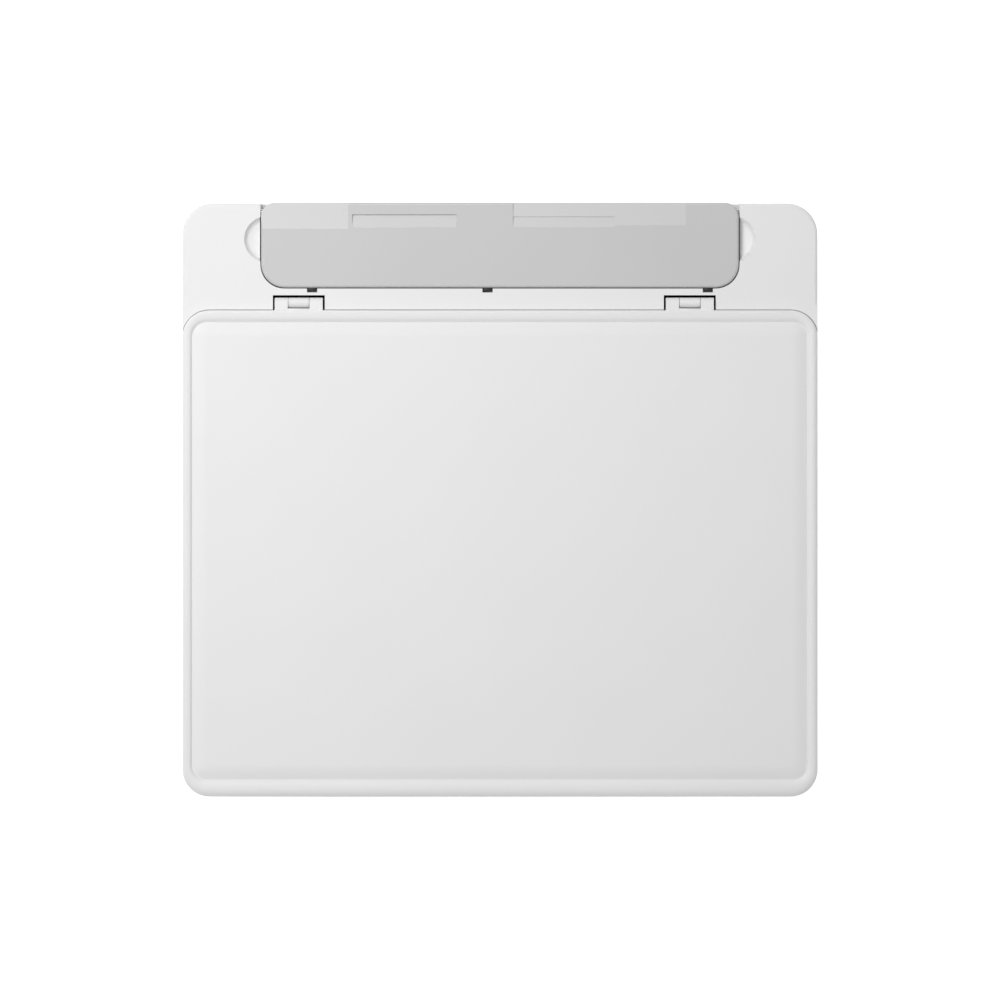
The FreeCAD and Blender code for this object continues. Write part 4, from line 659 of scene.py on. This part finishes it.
def make_feed_roller():
    mesh = bmesh.new()
    soft_rod(mesh, (-158.2, *FEED_AXIS), "x", 316.4, 4)
    piece("feed_shaft", mesh, "feed", ground_steel)
    mesh = bmesh.new()
    turned(mesh, (-132, *FEED_AXIS), "x", grooved(264, 6, 24))
    sleeve = piece("feed_sleeve", mesh, "feed", epdm)
    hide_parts("feed_roller")
    mesh = bmesh.new()
    extruded(mesh, gear_outline(FEED_AXIS, FEED_TEETH, 12.7, 11.95), "x", *GEAR_X)
    soft_rod(mesh, (-147.2, *FEED_AXIS), "x", 8.4, 6.5)
    extruded(mesh, gear_outline(FEED_AXIS, 24, 4.55, 4.3), "x", *LINK_X)
    piece("feed_gear", mesh, "feed", dark_nylon)
    mesh = bmesh.new()
    extruded(mesh, gear_outline(PINION_AXIS, PINION_TEETH, 5.35, 4.6), "x", *GEAR_X)
    soft_rod(mesh, (-158.2, *PINION_AXIS), "x", 16, 2.5)
    pinion = piece("feed_pinion_gear", mesh, "pinion", brass)
    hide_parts("feed_pinion")


def make_eject_roller():
    mesh = bmesh.new()
    soft_rod(mesh, (-158.2, *EJECT_AXIS), "x", 316.4, 2.5)
    piece("delivery_shaft", mesh, "eject", ground_steel)
    mesh = bmesh.new()
    for x in WHEELS:
        turned(mesh, (x, *EJECT_AXIS), "x", grooved(12, 5.5, 4))
    wheels = piece("delivery_wheels", mesh, "eject", epdm)
    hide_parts("eject_roller")
    mesh = bmesh.new()
    extruded(mesh, gear_outline(EJECT_AXIS, 24, 4.55, 4.3), "x", *LINK_X)
    piece("delivery_pulley", mesh, "eject", dark_nylon)


def make_pressure_wheels():
    mesh = bmesh.new()
    soft_block(mesh, (-139.4, 50, 63.1), (156, 53, 67.4), 0.5)
    soft_block(mesh, (-156, -56, 64.7), (156, -44, 67), 0.6)
    for x in WHEELS:
        soft_block(mesh, (x, 52.6, 64.1), (x + 8, 60, 67.4), 0.4)
        turned(mesh, (x, 46, 64.1), "x", grooved(12, 3, 3, 0.2), 32)
    bars = piece("pressure_bars", mesh, "housing", dark_nylon)
    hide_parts("pressure_wheels")
    mesh = bmesh.new()
    for x in WHEELS:
        extruded(mesh, gear_outline((-50, 62.6), 14, 2.0, 1.3), "x", x + 5, x + 5.4)
        extruded(mesh, gear_outline((-50, 62.6), 14, 2.0, 1.3), "x", x + 5.8, x + 6.2)
        soft_rod(mesh, (x + 4.6, -50, 62.6), "x", 2, 0.5, 0.1, 16)
    piece("star_wheels", mesh, "housing", ground_steel)


def make_pickup():
    mesh = bmesh.new()
    soft_rod(mesh, (-26, 103, 63), "x", 52, 2.5)
    piece("pickup_shaft", mesh, "pickup", ground_steel)
    mesh = bmesh.new()
    extruded(mesh, gear_outline((103, 63), 60, 11, 10.6), "x", -18, 18)
    tyre = piece("pickup_tyre", mesh, "pickup", epdm)
    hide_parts("pickup_roller")


# ---------------------------------------------------------------- belts, pulleys and motors

def stadium(half, offset, place):
    """A point on a loop of two straights and two half circles, and place runs from 0 to 1."""
    mean = 6.4  # radius along which the teeth are spaced round the ends
    straight, turn = 2 * half, math.pi * mean
    at = place * 2 * (straight + turn)
    if at < straight:
        return (-half + at, offset)
    at -= straight
    if at < turn:
        angle = math.pi / 2 - at / mean
        return (half + offset * math.cos(angle), offset * math.sin(angle))
    at -= turn
    if at < straight:
        return (half - at, -offset)
    at -= straight
    angle = -math.pi / 2 - at / mean
    return (-half + offset * math.cos(angle), offset * math.sin(angle))


def toothed_belt(mesh, half, inner, outer, teeth, spot, sides):
    """A flat belt with teeth on its inside, between two sides; spot turns a loop point into a place."""
    loops = []
    for index, side in ((0, sides[0]), (0, sides[1]), (1, sides[1]), (1, sides[0])):
        loop = []
        for step in range(4 * teeth):
            offset = outer if index == 0 else inner + (0 if step % 4 < 2 else 0.35)
            loop.append(Vector(spot(*stadium(half, offset, step / (4 * teeth)), side)))
        loops.append(loop)
    skin(mesh, loops, closed=True)


def make_belts():
    mesh = bmesh.new()
    toothed_belt(mesh, 146, 6.0, 6.9, 300, lambda a, b, at: (a, at, 78 + b), (50.5, 55.5))
    toothed_belt(mesh, 48, 4.66, 5.5, 100, lambda a, b, at: (at, -2 + a, 55 + b), (-139.2, -136.2))
    belts = piece("toothed_belts", mesh, "housing", epdm)
    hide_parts("timing_belts")
    for name, node, x in (("pulley_right", "motor_pulley", 146), ("pulley_left", "idler_pulley", -146)):
        mesh = bmesh.new()
        extruded(mesh, gear_outline((78, x), PULLEY_TEETH, 5.9, 5.5), "y", 50.1, 55.9)
        soft_rod(mesh, (x, 50.1, 78), "y", 9.9, 2.5)
        pulley = piece(f"{name}_wheel", mesh, name, brass)
        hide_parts(node)


def make_motors():
    mesh = bmesh.new()
    can = [(0, 2.6), (0, 4), (0.5, 4.2), (0.6, 9.8), (1.2, 10.8), (1.8, 11), (18.6, 11), (18.7, 10.7),
           (19, 10.7), (19.1, 11), (21, 11), (21.5, 10.6), (21.6, 4), (22, 3.8)]
    turned(mesh, (-180.5, *PINION_AXIS), "x", can)
    turned(mesh, (146, 61.2, 78), "y", [(at * 24 / 22, radius) for at, radius in can])
    cans = piece("motor_cans", mesh, "housing", zinc_sheet)
    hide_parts("drive_motors")


# ---------------------------------------------------------------- carriage, ink and waste felt

def make_ink():
    for body, node, middle, finish in (("black_tank", "ink_black", 97, black_tank),
                                       ("colour_tank", "ink_colour", 127, slate_tank)):
        mesh = bmesh.new()
        soft_block(mesh, (middle - 13.4, -38, 70.3), (middle + 13.4, 12, 89.6), 1.0, 3)
        soft_block(mesh, (middle - 9, -30, 89.4), (middle + 9, 4, 89.9), 0.2)
        soft_block(mesh, (middle - 7, -42, 74.2), (middle + 7, -37.6, 87), 0.9, 3)
        for step in range(4):
            low = 76.4 + 2.6 * step
            soft_block(mesh, (middle - 5.5, -42.4, low), (middle + 5.5, -41.7, low + 1.2), 0.2)
        tank = piece(f"{body}_case", mesh, body, finish)
        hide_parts(node)


def make_carriage_details():
    mesh = bmesh.new()
    soft_block(mesh, (88, -18, 91.8), (136, 12, 95.4), 1.2, 3)
    for step in range(6):
        soft_block(mesh, (93 + 7 * step, -14, 95.2), (95.5 + 7 * step, 8, 96), 0.3)
    piece("carriage_cover", mesh, "head_carriage", dark_nylon)


def make_felt():
    low, high = span("ink_absorber")
    mesh = bmesh.new()
    rings = []
    for inset, z in ((1.5, low.z), (0.3, low.z + 0.6), (0, low.z + 2), (0.1, (low.z + high.z) / 2),
                     (0, high.z - 2.5), (0.5, high.z - 0.8), (1.8, high.z - 0.1), (6, high.z)):
        rings.append(ring_points(low.x + inset, high.x - inset, low.y + inset, high.y - inset, 3, z))
    skin(mesh, rings)
    felt = piece("waste_ink_felt", mesh, "housing", ink_felt)
    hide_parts("ink_absorber")


# ---------------------------------------------------------------- electronics

def make_electronics():
    mesh = bmesh.new()
    for y in (110, 119, 128, 137):
        can = [(0, 3.2), (1, 3.4), (1.4, 3.1), (2, 3.4), (8.6, 3.4), (9, 3)]
        turned(mesh, (-166, y, 48.5), "z", can, 32)
    piece("board_capacitors", mesh, "housing", zinc_sheet)
    mesh = bmesh.new()
    for left, right in ((-168, -150), (-146, -127)):
        soft_block(mesh, (left, 86, 48.5), (right, 92, 54), 0.4)
        for step in range(6):
            at = left + 2 + step * (right - left - 4) / 6
            soft_block(mesh, (at, 87, 53.6), (at + 1.2, 91, 54.6), 0.15)
    for x, y in ((-132, 124), (-146, 97), (-156, 97), (-132, 98)):
        soft_block(mesh, (x - 2.4, y - 1.4, 48.5), (x + 2.4, y + 1.4, 50), 0.2)
    piece("board_connectors", mesh, "housing", dark_nylon)
    low, high = span("power_supply")
    mesh = bmesh.new()
    soft_block(mesh, low, high, 2.2, 4)
    for step in range(8):
        soft_block(mesh, (low.x + 8, low.y + 10 + 7 * step, high.z - 0.2),
                   (high.x - 8, low.y + 13 + 7 * step, high.z + 0.7), 0.3)
    supply = piece("supply_case", mesh, "housing", supply_abs)
    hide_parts("power_supply")


# ---------------------------------------------------------------- stage, light and camera

VIEW_WIDTH = 584.9
LENS = 200
SENSOR = 36


def make_stage():
    bpy.ops.mesh.primitive_plane_add(size=12)
    floor = bpy.context.object
    floor.name = "floor"
    material, tree, shader = start("floor_white_paper")
    where = add(tree, "TexCoord").outputs["Object"]
    drift = add(tree, "TexNoise", {"Vector": where, "Scale": 3.0})
    gloss = add(tree, "MapRange", {"Value": drift.outputs["Fac"], "To Min": 0.85, "To Max": 0.95})
    tree.links.new(gloss.outputs["Result"], shader.inputs["Roughness"])
    shader.inputs["Base Color"].default_value = linear("FAFAFA")
    shader.inputs["Emission Color"].default_value = linear("FFFFFF")
    shader.inputs["Emission Strength"].default_value = 0.68
    floor.data.materials.append(material)


def area_light(name, place, aim, size, power):
    data = bpy.data.lights.new(name, "AREA")
    data.shape = "RECTANGLE"
    data.size, data.size_y = size
    data.energy = power
    lamp = bpy.data.objects.new(name, data)
    lamp.location = place
    lamp.rotation_euler = (Vector(aim) - Vector(place)).to_track_quat("-Z", "Y").to_euler()
    bpy.context.scene.collection.objects.link(lamp)


def make_light():
    world = bpy.data.worlds.new("studio")
    world.use_nodes = True
    back = next(n for n in world.node_tree.nodes if n.bl_idname == "ShaderNodeBackground")
    back.inputs["Color"].default_value = (1, 1, 1, 1)
    back.inputs["Strength"].default_value = 0.355
    bpy.context.scene.world = world
    area_light("softbox_left", (-0.55, 0.45, 1.45), (0, 0, 0.1), (0.8, 0.8), 15.2)
    area_light("softbox_right", (1.8, -0.6, 1.9), (0, 0, 0.1), (1.4, 1.4), 4)
    bpy.context.scene.view_settings.view_transform = "Standard"


def make_camera():
    top = cad_box[1][2]
    distance = VIEW_WIDTH * MM * LENS / SENSOR
    data = bpy.data.cameras.new("camera")
    data.lens = LENS
    data.sensor_width = SENSOR
    data.clip_end = 20
    camera = bpy.data.objects.new("camera", data)
    camera.location = (0, -0.0003, top + distance)
    bpy.context.scene.collection.objects.link(camera)
    bpy.context.scene.camera = camera


finish_cad_nodes()
make_lid()
make_lid_foam()
make_support()
make_grips()
make_feet()
make_label_and_latch()
make_keys()
make_display()
make_tray_details()
make_ramp_ribs()
make_feed_roller()
make_eject_roller()
make_pressure_wheels()
make_pickup()
make_belts()
make_motors()
make_ink()
make_carriage_details()
make_felt()
make_electronics()
make_stage()
make_light()
make_camera()
